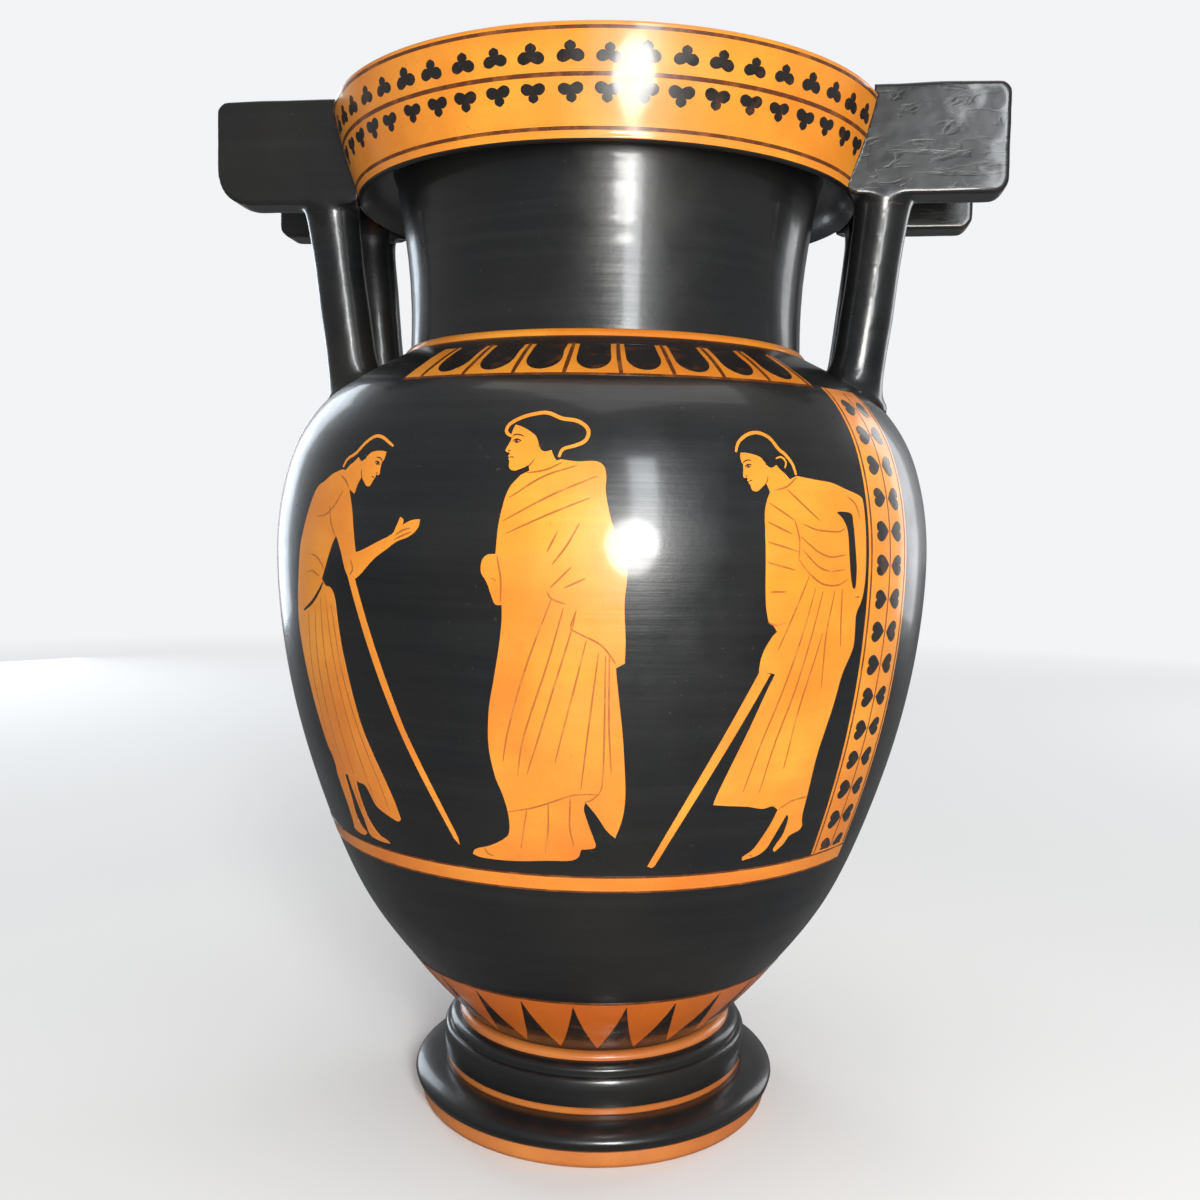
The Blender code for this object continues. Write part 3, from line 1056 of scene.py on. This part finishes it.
def ivy_border(coats, left, shift, flip):
    """A clay strip with pairs of ivy leaves that point away from its middle."""
    top, bottom = -TONGUES_BOTTOM, at_height(GROUND_TOP)
    ends = sorted(shift + flip * x for x in (left, left + BORDER_WIDTH))
    coats.clay.add(band(ends[0], ends[1], top, bottom))
    middle = sum(ends) / 2
    for x in (ends[0] + BORDER_LINE_INSET, ends[1] - BORDER_LINE_INSET):
        upright_line(coats.brown, x, top - 0.4, bottom + 0.4, 0.8)
    upright_line(coats.brown, middle, top - 2, bottom + 1, 0.5)
    for k, height in enumerate(np.arange(bottom + FIRST_LEAF, top - 4, LEAF_PITCH)):
        for way in (-1, 1):
            outline = leaf(way, LEAF_LENGTH + hand.uniform(-0.4, 0.4), LEAF_WIDTH + hand.uniform(-0.5, 0.5))
            if k == 0:
                outline = outline[outline[:, 1] > -1.4]
            shrink = 0.97 + hand.uniform(-0.03, 0.03)
            place = (middle - way * LEAF_FROM_MIDDLE, height + hand.uniform(-0.4, 0.4))
            coats.black.add(filled([outline * shrink + place], spacing=2.2))


TONGUE_HALF_WIDTH = 7.6
TONGUE_TOP = -11.0
TONGUE_ROUND = -22.5
TONGUE_TIP = -31.2


def tongue():
    """A hanging tongue: straight sides and a round end."""
    end = arc((0, 0), 1, 0, -180, 18) * (TONGUE_HALF_WIDTH, TONGUE_ROUND - TONGUE_TIP) + (0, TONGUE_ROUND)
    return np.vstack([(-TONGUE_HALF_WIDTH, TONGUE_TOP), (TONGUE_HALF_WIDTH, TONGUE_TOP), end])


def tongue_band(coats, shift, flip):
    """Black tongues on clay at the root of the neck, with brown lines between them."""
    ends = sorted(shift + flip * turn * DEGREE for turn in (TONGUES_LEFT, TONGUES_RIGHT))
    coats.clay.add(band(ends[0], ends[1], -TONGUES_CLAY_TOP, -TONGUES_BOTTOM))
    side_line(coats.black, ends[0], ends[1], -TONGUES_TOP, TONGUES_LINE)
    side_line(coats.brown, ends[0], ends[1], -TONGUES_BOTTOM - 0.2, 1.2)
    for k in range(TONGUE_COUNT):
        x = shift + flip * (TONGUE_FIRST + k * TONGUE_PITCH) * DEGREE
        coats.black.add(filled([tongue() * (1 + hand.uniform(-0.05, 0.05), 1) + (x, 0)]))
    for k in range(TONGUE_COUNT + 1):
        x = shift + flip * (TONGUE_FIRST + (k - 0.5) * TONGUE_PITCH) * DEGREE
        start = (x + hand.uniform(-0.4, 0.4), -TONGUES_TOP)
        end = (x + hand.uniform(-0.5, 0.5), -TONGUES_BOTTOM)
        coats.brown.stroke([start, (x, -22), end], TONGUE_DIVIDER, 0.7)


def panel_frame(number, shift, flip):
    """The ground line, the two ivy borders and the tongues of one side."""
    coats = Coats()
    ends = sorted(shift + flip * x for x in (PANEL_LEFT, PANEL_RIGHT))
    top, bottom = at_height(GROUND_TOP), at_height(GROUND_BOTTOM)
    coats.clay.add(band(ends[0], ends[1], top, bottom))
    for height in (top - 0.35, bottom + 0.35):
        side_line(coats.brown, ends[0], ends[1], height, 0.7)
    tongue_band(coats, shift, flip)
    ivy_border(coats, PANEL_RIGHT - BORDER_WIDTH, shift, flip)
    ivy_border(coats, PANEL_LEFT, shift, flip)
    coats.pieces(f"panel_frame_{number}")


def neck_ring():
    """A low clay bead at the root of the neck."""
    radius, seat = BODY_LINE[0]
    bead = [(radius - 1.8, seat + 1.9), (radius - 0.1, seat + 1.6), (radius + 1.2, seat + 0.3)]
    bead += [(radius + 2.3, seat - 1.5), (radius + 4.0, seat - 2.5), (radius + 1.0, seat - 4.2)]
    turned_piece("neck_ring", [(smooth_curve(bead, FINE_STEP), CLAY)], closed=True)


RAY_COUNT = 25
RAY_PHASE = 1.5
RAYS_TOP = 66.2
RAYS_BOTTOM = 39.2
RAY_TIP = 64.2
RAY_GAP = 0.35
RAY_STEP = 1.4


def ray(half_width, height, lean):
    """A tall point with hollow sides, standing on z = 0."""
    low, high = (half_width * 0.56, height * 0.30), (half_width * 0.22, height * 0.66)
    left = [(-half_width, 0), (-low[0], low[1]), (lean / 2 - high[0], high[1])]
    right = [(lean, height), (lean / 2 + high[0], high[1]), low]
    return ring(left, right, [(half_width, 0)], step=RAY_STEP)


def rays():
    """Black rays on clay that rise from the foot and leave clay petals between them."""
    coats = Coats()
    top, bottom, tip = at_height(RAYS_TOP), at_height(RAYS_BOTTOM), at_height(RAY_TIP)
    coats.clay.add(full_band(top, bottom + 0.3))
    pitch = ROUND / RAY_COUNT
    for k in range(RAY_COUNT):
        outline = ray(pitch / 2 - RAY_GAP, tip - bottom, hand.uniform(-0.5, 0.5))
        coats.black.add(filled([outline + (RAY_PHASE * DEGREE + k * pitch, bottom)]))
    ring_line(coats.brown, top - 0.4, 1.0)
    coats.pieces("rays")


TREFOIL_COUNT = 54
TREFOIL_PHASE = 0.3
TREFOIL_SIZE = (1.06 * BELLY / 107.0, 0.92)
RIM_BROWN_LINES = ((2.9, 1.1), (16.7, 1.4), (33.0, 1.2))
RIM_BLACK_LIFT = 0.10
RIM_BROWN_LIFT = 0.08


def trefoil():
    """Three lobes round a small middle, one of them longer: points upwards, about 7 mm high."""
    right = [(0.0, 3.8), (1.5, 2.8), (1.7, 1.5)]
    lobe = [(1.25, 0.85), (2.6, 0.95), (4.0, -0.45), (3.9, -2.2), (2.4, -3.15), (0.9, -2.75)]
    heel = [(0.0, -2.15)]
    left_lobe = mirrored(lobe)
    left = mirrored(right)
    return ring(right, lobe, heel + left_lobe[:-1], left_lobe[-1:] + left[:-1], step=0.8)


def rim_patterns(surface):
    """Brown lines and two rows of trefoils on the rim's face, the lower row upside down."""
    black = Skins(surface, RIM_BLACK_LIFT)
    brown = Skins(surface, RIM_BROWN_LIFT)
    for down, width in RIM_BROWN_LINES:
        ring_line(brown, -down, width)
    for down, way in ((10.4, 1), (21.9, -1)):
        for k in range(TREFOIL_COUNT):
            x = (TREFOIL_PHASE + k * 360 / TREFOIL_COUNT) * DEGREE
            size = np.array(TREFOIL_SIZE) * (1 + hand.uniform(-0.06, 0.06))
            turn = hand.uniform(-0.10, 0.10)
            spin = np.array([[math.cos(turn), -math.sin(turn)], [math.sin(turn), math.cos(turn)]])
            place = (x + hand.uniform(-0.5, 0.5), -down + hand.uniform(-0.3, 0.3))
            outline = trefoil() * (1, way) @ spin * size + place
            black.add(filled([outline], spacing=2.0))
    black.piece("rim_trefoils", BLACK_SLIP)
    brown.piece("rim_lines", BROWN_SLIP)


# Painted figures, in (x, z).


class Figure:
    """One painted person: clay shapes with gaps, clay contours, thin folds, and black marks.

    A contour is a path and its width. A mark is a path, its width and how full its ends are.
    """

    def __init__(self):
        self.shapes = []
        self.gaps = []
        self.contours = []
        self.folds = []
        self.marks = []


HEAD_PIVOT = (0.45, 0.50)
HEAD_STEP = 0.05


def turned_drawing(drawing, centre, size, tilt, facing):
    """A drawing in head units brought to its place. The head looks left before it is turned round."""
    moved = (np.asarray(drawing, float) - HEAD_PIVOT) * size
    cos, sin = math.cos(tilt), math.sin(tilt)
    moved = moved @ np.array([[cos, sin], [-sin, cos]])
    return moved * (-facing, 1) + centre


def add_head(figure, centre, size, tilt, facing):
    """A plain classical profile on textbook thirds. facing is 1 for right and -1 for left."""
    profile = [(0.06, 0.84), (0.015, 0.75), (0.0, 0.67), (0.008, 0.60), (-0.035, 0.50), (-0.085, 0.41)]
    nose = [(-0.10, 0.378), (-0.085, 0.348), (-0.035, 0.335)]
    upper_lip = [(-0.014, 0.325), (-0.020, 0.30), (-0.042, 0.272)]
    chin = [(-0.014, 0.245), (-0.034, 0.222), (-0.012, 0.175), (-0.020, 0.115), (0.0, 0.04), (0.09, 0.0)]
    jaw = [(0.24, 0.04)]
    throat = [(0.36, 0.08), (0.375, -0.05), (0.36, -0.18)]
    neck_base = [(0.33, -0.32), (0.70, -0.30)]
    nape = [(1.0, -0.12), (0.92, 0.08), (0.83, 0.22)]
    hairline = [(0.78, 0.34), (0.66, 0.32), (0.58, 0.36), (0.53, 0.48), (0.48, 0.60), (0.36, 0.70)]
    temple = [(0.20, 0.79)]
    runs = (profile, nose, upper_lip, chin + jaw, throat, neck_base, nape, hairline + temple)
    outline = ring(*runs, step=HEAD_STEP)

    def placed(drawing):
        return turned_drawing(drawing, centre, size, tilt, facing)

    figure.shapes.append(placed(outline))
    upper_lid = [(0.035, 0.535), (0.08, 0.565), (0.14, 0.560), (0.20, 0.530)]
    lower_lid = [(0.05, 0.525), (0.11, 0.507), (0.18, 0.522)]
    pupil = [(0.095, 0.553), (0.105, 0.535), (0.10, 0.517)]
    brow = [(0.015, 0.625), (0.08, 0.655), (0.16, 0.648), (0.24, 0.615)]
    nostril = [(-0.045, 0.352), (-0.025, 0.372), (0.005, 0.355)]
    mouth = [(-0.012, 0.246), (0.03, 0.250), (0.075, 0.240)]
    jawline = [(0.30, 0.055), (0.40, 0.11), (0.47, 0.20)]
    ear = [(0.53, 0.50), (0.56, 0.55), (0.61, 0.53), (0.60, 0.46), (0.55, 0.41), (0.53, 0.45)]
    lines = [(upper_lid, 0.030), (lower_lid, 0.018), (brow, 0.024), (nostril, 0.018), (mouth, 0.020)]
    lines += [(jawline, 0.014), (ear, 0.018)]
    for path, width in lines:
        figure.marks.append((placed(path), width * size, 0.3))
    figure.marks.append((placed(pupil), 0.045 * size, 0.8))


def robed_figure():
    """A standing person wrapped in a mantle, with the hair in a bun."""
    figure = Figure()
    body = ring(
        [(2.9, 259.8), (8.4, 259.2), (14, 259.4), (16.8, 258), (17.7, 254.8), (17.6, 249.8), (19.2, 242)]
        + [(22, 234), (24.6, 226), (24, 215), (24.6, 204)],
        [(24.6, 196.4)],
        [(21.8, 194.8), (22.3, 190), (23.4, 182), (24.6, 173), (25.7, 162), (26.4, 152), (25.7, 144)],
        [(23.4, 137), (20.1, 139.8), (16.2, 145.3)],
        [(12.3, 149.8), (11.8, 147), (13.4, 142)],
        [(16.2, 134.8), (15.7, 133.3)],
        [(10.7, 132.6), (9.6, 129.8), (6.2, 128.4), (-2.7, 128), (-16, 127), (-29, 127)],
        [(-33.2, 128), (-31.6, 130), (-25, 132), (-19.3, 134.8), (-16.6, 137.6), (-16.2, 144)]
        + [(-17.7, 151), (-20, 157.6), (-21.4, 168), (-20.4, 180), (-18.2, 190), (-16, 201), (-15, 209)],
        [(-14.9, 214), (-17, 214), (-18.2, 216.4), (-19.9, 221), (-21.8, 224), (-21.6, 227.6)]
        + [(-19.9, 229.6)],
        [(-17, 230), (-16.6, 236), (-16.2, 240), (-14.9, 246.4), (-13.2, 251)],
        [(-9.9, 254.8), (-4.0, 257.5)],
    )
    figure.shapes.append(body)
    add_head(figure, (-6.3, 265.2), 17.6, math.radians(3), -1)
    hair = [(-11.6, 267.6), (-14.4, 267.2), (-16.4, 268.6), (-15.6, 271.0), (-11.6, 273.2), (-7, 274.4)]
    hair += [(-2.7, 274.7), (2.3, 272.9), (7.3, 272.2), (10.7, 270.3)]
    hair += [(11.6, 268), (10.4, 265.6), (7.3, 264.2), (3.4, 263), (2.2, 260.5)]
    figure.contours.append((hair, 1.35))
    figure.folds = [
        [(-13.2, 247.6), (-2.7, 254.2), (8.4, 258)],
        [(-14.9, 240.3), (0.7, 248.7), (15, 254.8)],
        [(-13.8, 236.4), (0.7, 243), (12.9, 248)],
        [(-8, 255.4), (-2, 256.4), (3.4, 258.8)],
        [(-0.4, 231), (2.9, 237.6)],
        [(1.2, 227), (5.7, 233), (9.6, 240)],
        [(0.7, 219.8), (7.3, 226.4)],
        [(5, 219.8), (11.8, 223)],
        [(-0.4, 218.7), (1.2, 216.4), (5.7, 214.8)],
        [(-16.5, 229.5), (-15.2, 222), (-15.3, 214.6)],
        [(-18.6, 222.4), (-16.6, 221.6)],
        [(1.2, 216.4), (-7, 195), (-13.8, 174), (-16.6, 162.6)],
        [(5, 213.7), (-0.4, 195), (-8.8, 171), (-11.6, 158)],
        [(9, 213), (6.8, 204), (-2.7, 174), (-8.2, 158.7)],
        [(12.3, 203.7), (8.4, 187.6), (1.8, 163)],
        [(16.2, 199.8), (13.4, 176.4), (10.7, 154)],
        [(18.4, 198.7), (18.4, 160), (16.8, 152)],
        [(19.6, 198.7), (20, 176.4), (21.2, 160)],
        [(9, 213), (7.3, 208), (8.4, 206.4), (16.2, 202.6), (19.6, 199.2), (21.8, 196)],
        [(-16, 145), (-7, 147), (0.7, 149.6), (8.4, 152.2), (16.8, 152.6)],
        [(16.8, 152.6), (14.5, 150.6), (12.2, 149.9)],
        [(-9, 146.4), (-11, 138), (-12.5, 132)],
        [(-1, 149), (-1.5, 139), (-3, 131)],
        [(7, 151.4), (6.6, 141), (8, 134)],
        [(-27.5, 131), (-26.5, 129), (-24.2, 128.2)],
    ]
    return figure


def bent_figure():
    """A person in a mantle who leans forward on a staff, with one hand on the hip."""
    figure = Figure()
    body = ring(
        [(84, 256.4), (91, 255.5), (99.4, 254.6), (106.5, 252.6), (113.5, 250.6), (115, 248.5)]
        + [(115.2, 242), (115.2, 233), (115, 221.4), (113.8, 215.5), (111.8, 212)],
        [(111.2, 209.6), (111.8, 201.4), (111.2, 198), (108.2, 192)],
        [(107, 188.5), (105.3, 179), (103.5, 171), (102, 162.6), (101.8, 155.5), (102, 147.3)]
        + [(102.4, 140)],
        [(104, 136), (103, 134.4), (98.2, 133), (96, 130)],
        [(92.4, 127.5), (91.2, 128.5), (92.4, 130.8), (94.5, 134.4), (94.9, 140)],
        [(93.5, 141.4), (91.8, 138), (89.4, 133), (87.6, 129.6), (84, 127.3)],
        [(77, 126), (76.5, 127.3), (80.6, 129.6), (84, 134.4), (86.5, 139)],
        [(88.2, 143.8), (85.3, 145.5), (80.6, 145), (73.5, 146.4), (65.3, 147.3)],
        [(59.4, 148), (60, 151), (64, 161.4), (68.8, 173), (74, 186)],
        [(76.8, 192), (74, 192.5)],
        [(70.6, 191.5), (70.4, 194.4), (71.2, 199), (74, 204)],
        [(76, 206), (74.5, 208)],
        [(72.4, 209.6), (71.2, 214.4), (70.6, 221.4), (70.4, 231), (70.2, 239), (70.4, 245), (72, 249.6)],
        [(73.8, 252.2)],
    )
    staff = ring([(70.4, 192.6)], [(75.0, 192.2)], [(39.4, 126.6)], [(38.2, 125.8)], [(36.4, 126.4)])
    figure.shapes += [body, staff]
    gap = [(100.6, 245), (103, 243), (105.3, 239), (106, 231), (107, 224), (108.6, 219.6), (110, 220)]
    gap += [(110.2, 226), (109.4, 233), (108.6, 241.4), (107.6, 244.7)]
    figure.gaps.append(smooth_ring(gap))
    add_head(figure, (70.6, 260.3), 15.6, math.radians(20), -1)
    hair = [(61.4, 263.4), (63, 266.7), (67, 269.3), (71.2, 270), (75.3, 268.5), (78.2, 265), (80.6, 263.2)]
    hair += [(83, 260.2), (83.9, 256.7)]
    figure.contours.append((hair, 1.25))
    figure.contours.append(([(76.5, 261.8), (78.8, 262.4), (80.4, 260.8), (79.6, 258.8)], 0.7))
    figure.folds = [
        [(72, 247.5), (81.8, 242)],
        [(71.2, 241.4), (80.6, 237.6)],
        [(71.2, 235), (83, 232)],
        [(71.2, 228.5), (81.8, 226)],
        [(72.4, 219), (78.8, 219)],
        [(79.4, 252), (85.3, 247.3), (92.4, 242)],
        [(74.5, 251.5), (79.5, 252.8), (84, 256)],
        [(85.3, 240.8), (91.2, 239), (100.6, 238.5), (104, 239.6)],
        [(84, 236.7), (91.2, 232), (97, 230.2), (104, 230.8)],
        [(84.7, 232.6), (91.2, 227.3), (97, 225.5), (104, 226)],
        [(83, 229.6), (87.6, 225), (93.5, 221.4), (100.6, 220.8), (105.3, 222.6)],
        [(81.8, 242), (83.4, 236), (83.2, 229)],
        [(87.6, 223.8), (81.8, 210.8), (77, 200)],
        [(90.6, 220), (86.5, 205), (80.6, 186), (74.7, 168.5), (70.6, 152)],
        [(94, 219), (86.5, 188.5), (80.6, 168.5), (77.6, 151)],
        [(95.3, 205), (88.8, 180), (86.5, 159)],
        [(99.4, 219), (97, 204), (97.6, 186)],
        [(103, 219.6), (103.5, 209.6), (104.7, 200)],
        [(72.4, 209.2), (75.4, 208.2), (79, 208.8)],
        [(106.4, 250.4), (110.5, 247.6), (112.2, 243)],
        [(88.2, 143.8), (94, 146.4), (102, 147.2)],
        [(79.5, 127.9), (81.2, 127.2)],
        [(109.6, 216.5), (112.4, 216.6)],
    ]
    return figure


def youth_figure():
    """A bare-shouldered youth who leans on a staff and holds out an open hand."""
    figure = Figure()
    body = ring(
        [(-79, 252), (-78.3, 250), (-75.6, 244), (-74, 237.6)],
        [(-72.2, 229), (-69, 229.8), (-62, 232.6), (-55.6, 235.3), (-54, 237.6)],
        [(-52.4, 241), (-51, 240.2)],
        [(-51.3, 238.4), (-47.8, 240)],
        [(-44.4, 240.4), (-45, 237.6), (-48.3, 234.8), (-53.3, 233), (-57.8, 230.3), (-63.3, 227)]
        + [(-69.4, 222)],
        [(-72.2, 220.2)],
        [(-76, 220.3), (-77.8, 223), (-80, 228.7), (-82.2, 233)],
        [(-83.3, 234.2), (-85.6, 231), (-89.4, 224)],
        [(-92.2, 219.2), (-90, 217), (-86.7, 216.4), (-84.4, 213), (-83.3, 204), (-82.2, 195)]
        + [(-80.6, 186.4), (-79, 177.6), (-76.7, 167.6), (-73.3, 158.7), (-70, 151), (-67.2, 143)],
        [(-66, 136.4), (-67.8, 135.3), (-72.2, 136.4), (-79, 139.2), (-81, 142.6), (-83.3, 146.4)]
        + [(-87.8, 147)],
        [(-90.0, 148), (-96, 148.6)],
        [(-103, 148), (-104, 154), (-106.7, 160), (-111, 180), (-114, 200), (-113, 211), (-111, 220)]
        + [(-109, 230), (-105, 240), (-100, 250), (-94.4, 253), (-90, 255.3)],
        [(-84.4, 256.8), (-81.5, 256)],
    )
    front_leg = ring(
        [(-88.8, 150), (-89.4, 142), (-87.8, 133), (-83.3, 127.9), (-79, 126.6)],
        [(-77.0, 125.3), (-83.3, 125.1), (-89.8, 125.8)],
        [(-91.4, 127.5), (-91.6, 132), (-93.2, 139), (-94.2, 150)],
    )
    rear_leg = ring(
        [(-97.2, 150), (-97.0, 141), (-97.8, 133), (-96.5, 129.4)],
        [(-92.8, 126.6), (-96, 125.2), (-101, 125.4)],
        [(-104.2, 126.4), (-103.2, 129.5), (-102.8, 136), (-103.6, 143), (-103.4, 150)],
    )
    staff_front = [(-55.0, 170.5), (-38.6, 133.2)]
    staff_back = [(-40.6, 132.8), (-58.0, 171)]
    staff = ring([(-76.6, 221.5)], [(-73.2, 221.5)], staff_front, staff_back)
    figure.shapes += [body, front_leg, rear_leg, staff]
    add_head(figure, (-70.8, 260.6), 15.6, math.radians(28), 1)
    hair = [(-60.2, 264.2), (-62.8, 265.6), (-66.7, 267.4), (-70.6, 267.8), (-74.4, 266), (-77, 263.7)]
    hair += [(-79, 262), (-82.8, 260.3), (-84.4, 257.6)]
    figure.contours.append((hair, 1.2))
    figure.folds = [
        [(-90, 214), (-88, 190), (-84, 165), (-79, 141)],
        [(-93.5, 212.6), (-94, 190), (-91.4, 165), (-89.4, 149.5)],
        [(-98, 209.4), (-100, 187), (-98, 163), (-95.6, 150)],
        [(-103.6, 207), (-106, 186), (-103.6, 163)],
        [(-86.6, 211), (-83.8, 188), (-79.4, 168), (-73.8, 150), (-71.4, 139)],
        [(-81.5, 249.6), (-85, 245), (-90, 241.6), (-96, 240.6)],
        [(-83.6, 234), (-86.5, 238.5), (-88.6, 244.5)],
        [(-90.4, 223), (-95, 226.5), (-99.5, 227.5)],
        [(-93.8, 220), (-98.5, 221.6), (-103, 221)],
        [(-84, 254.6), (-80.6, 252.6), (-78.6, 250.4)],
        [(-74.8, 226.6), (-73.6, 223.4), (-75.2, 221.2)],
        [(-54.2, 234.8), (-51.4, 236.6), (-48.2, 237.4)],
        [(-54.6, 233.6), (-51, 235), (-47.6, 236.2)],
        [(-90.6, 133), (-91.2, 140), (-91, 146)],
    ]
    figure.marks.append(([(-91.4, 218.0), (-94.4, 214.8), (-100, 210.6), (-107.6, 207.2)], 1.2, 0.3))
    return figure


def paint_figure(name, figure, shift, flip):
    """Puts a figure on the bowl, and mirrors it when flip is -1."""

    def placed(drawing):
        return BOWL.flat(np.asarray(drawing, float) * (flip, 1) + (shift, 0))

    clay = Skins(BOWL, CLAY_LIFT)
    clay.add(filled([placed(shape) for shape in figure.shapes], [placed(gap) for gap in figure.gaps]))
    for path, width in figure.contours:
        clay.stroke(placed(path), width, CONTOUR_ENDS)
    clay.piece(name + "_clay", CLAY)
    folds = Skins(BOWL, SLIP_LIFT)
    for path in figure.folds:
        folds.stroke(placed(path), FOLD_WIDTH)
    folds.piece(name + "_folds", THIN_SLIP)
    marks = Skins(BOWL, SLIP_LIFT)
    for path, width, taper in figure.marks:
        marks.stroke(placed(path), width, taper, MARK_STEP)
    marks.piece(name + "_marks", BLACK_SLIP)


BACK_SHIFT = 6.0
FOLD_WIDTH = 0.62
CONTOUR_ENDS = 0.6
MARK_STEP = 0.5


def figures():
    """The three people on the front, and the same three mirrored on the back."""
    back = ROUND / 2 + BACK_SHIFT
    people = (("robed", robed_figure()), ("bent", bent_figure()), ("youth", youth_figure()))
    for side_name, shift, flip in (("front", 0.0, 1), ("back", back, -1)):
        for name, figure in people:
            paint_figure(f"figure_{name}_{side_name}", figure, shift, flip)


# Stage, light and camera.

LENS = 36.11
CAMERA_DISTANCE = 0.5041
CAMERA_HEIGHT = 0.2420
CAMERA_PITCH = -0.0687
CAMERA_ROLL = 0.0168
CAMERA_YAW = 0.0010
CAMERA_AZIMUTH = math.radians(7.3)
LIGHT_TARGET = (0, 0, 0.22)


def add_camera():
    camera = bpy.data.cameras.new("camera")
    camera.lens = LENS
    camera.sensor_width = 36.0
    holder = bpy.data.objects.new("camera", camera)
    bpy.context.scene.collection.objects.link(holder)
    # The object stays upright at the origin: the camera is swung round it, then tipped and rolled.
    place = Matrix.Rotation(CAMERA_AZIMUTH, 4, "Z")
    place @= Matrix.Translation((0, -CAMERA_DISTANCE, CAMERA_HEIGHT))
    place @= Matrix.Rotation(CAMERA_YAW, 4, "Z")
    place @= Matrix.Rotation(CAMERA_PITCH, 4, "X")
    place @= Matrix.Rotation(math.radians(90), 4, "X")
    place @= Matrix.Rotation(CAMERA_ROLL, 4, "Z")
    holder.matrix_world = place
    bpy.context.scene.camera = holder


def add_light(name, place, size, power, colour, shape="RECTANGLE"):
    """An area light that faces the middle of the vase."""
    light = bpy.data.lights.new(name, "AREA")
    light.shape = shape
    light.size, light.size_y = size
    light.energy = power
    light.color = colour
    holder = bpy.data.objects.new(name, light)
    bpy.context.scene.collection.objects.link(holder)
    holder.location = place
    holder.rotation_euler = (Vector(LIGHT_TARGET) - Vector(place)).to_track_quat("-Z", "Y").to_euler()


BACKDROP = (0.89, 0.90, 0.92, 1)
BACKDROP_IN_GLOSS = 0.30
AMBIENT = 0.44
STAGE_COLOUR = (0.86, 0.855, 0.845, 1)
STAGE_IN_GLOSS = (0.16, 0.16, 0.16, 1)
STAGE_RADIUS = 6.0
STAGE_GAP = 0.0002
FADE_START = 0.45
FADE_END = 2.0


def add_world():
    """A pale room, held back in reflections so that the black gloss stays black."""
    world = bpy.data.worlds.new("studio")
    world.use_nodes = True
    tree = world.node_tree
    background = tree.nodes["Background"]
    background.inputs["Color"].default_value = BACKDROP
    ray = tree.nodes.new("ShaderNodeLightPath")
    seen = tree.nodes.new("ShaderNodeMapRange")
    seen.inputs["To Min"].default_value = AMBIENT
    seen.inputs["To Max"].default_value = 1.0
    tree.links.new(ray.outputs["Is Camera Ray"], seen.inputs["Value"])
    held = tree.nodes.new("ShaderNodeMapRange")
    held.inputs["To Max"].default_value = BACKDROP_IN_GLOSS
    tree.links.new(ray.outputs["Is Glossy Ray"], held.inputs["Value"])
    tree.links.new(seen.outputs["Result"], held.inputs["To Min"])
    tree.links.new(held.outputs["Result"], background.inputs["Strength"])
    bpy.context.scene.world = world


def floor_material():
    """Matt and pale, dark in the gloss's reflections, and fading into the backdrop far away."""
    shader = Shader("pale_floor")
    ray = shader.node("ShaderNodeLightPath")
    colour = shader.mix(ray.outputs["Is Glossy Ray"], STAGE_COLOUR, STAGE_IN_GLOSS)
    shader.finish(colour, shader.patches(40, 0.80, 0.90, 3), coat=0.0, specular=0.1)
    away = shader.node("ShaderNodeVectorMath", {"operation": "LENGTH"})
    shader.feed(away.inputs[0], shader.place)
    far = shader.spread(away.outputs["Value"], FADE_START, FADE_END)
    fade = shader.maths("MULTIPLY", far, ray.outputs["Is Camera Ray"])
    backdrop = shader.node("ShaderNodeEmission", Color=BACKDROP)
    blend = shader.node("ShaderNodeMixShader", Fac=fade)
    shader.feed(blend.inputs[1], shader.surface.outputs[0])
    shader.feed(blend.inputs[2], backdrop.outputs[0])
    shader.feed(shader.tree.nodes["Material Output"].inputs["Surface"], blend.outputs[0])
    return shader.material


def add_stage():
    """The floor, the room and the lights: a small flash by the camera, and soft windows round about."""
    below = (0, 0, -STAGE_GAP)
    bpy.ops.mesh.primitive_circle_add(vertices=96, radius=STAGE_RADIUS, fill_type="NGON", location=below)
    floor = bpy.context.object
    floor.name = "floor"
    floor.data.materials.append(floor_material())
    add_world()
    add_light("key", (0.170, -0.60, 0.270), (0.17, 0.17), 2.5, (1.0, 0.985, 0.94), shape="DISK")
    add_light("front_window", (0.64, -1.69, 0.80), (0.28, 1.1), 17, (0.93, 0.97, 1.0))
    add_light("left_window", (-1.15, 1.10, 0.45), (0.50, 1.3), 8, (0.82, 0.91, 1.0))
    add_light("right_window", (1.15, 1.10, 0.45), (0.50, 1.3), 6, (0.95, 0.97, 1.0))
    add_light("overhead", (0.1, 0.1, 2.4), (1.8, 1.8), 14, (1.0, 0.99, 0.97))
    bpy.context.scene.view_settings.view_transform = "Standard"


body_piece()
neck_piece()
RIM = rim_piece()
foot_base()
foot_moulding()
for side_name, side in (("right", 1), ("left", -1)):
    handle_pieces(side_name, side, RIM.line)
neck_ring()
for number, (shift, flip) in enumerate(SIDES, 1):
    panel_frame(number, shift, flip)
rays()
rim_patterns(RIM)
figures()
add_stage()
add_camera()
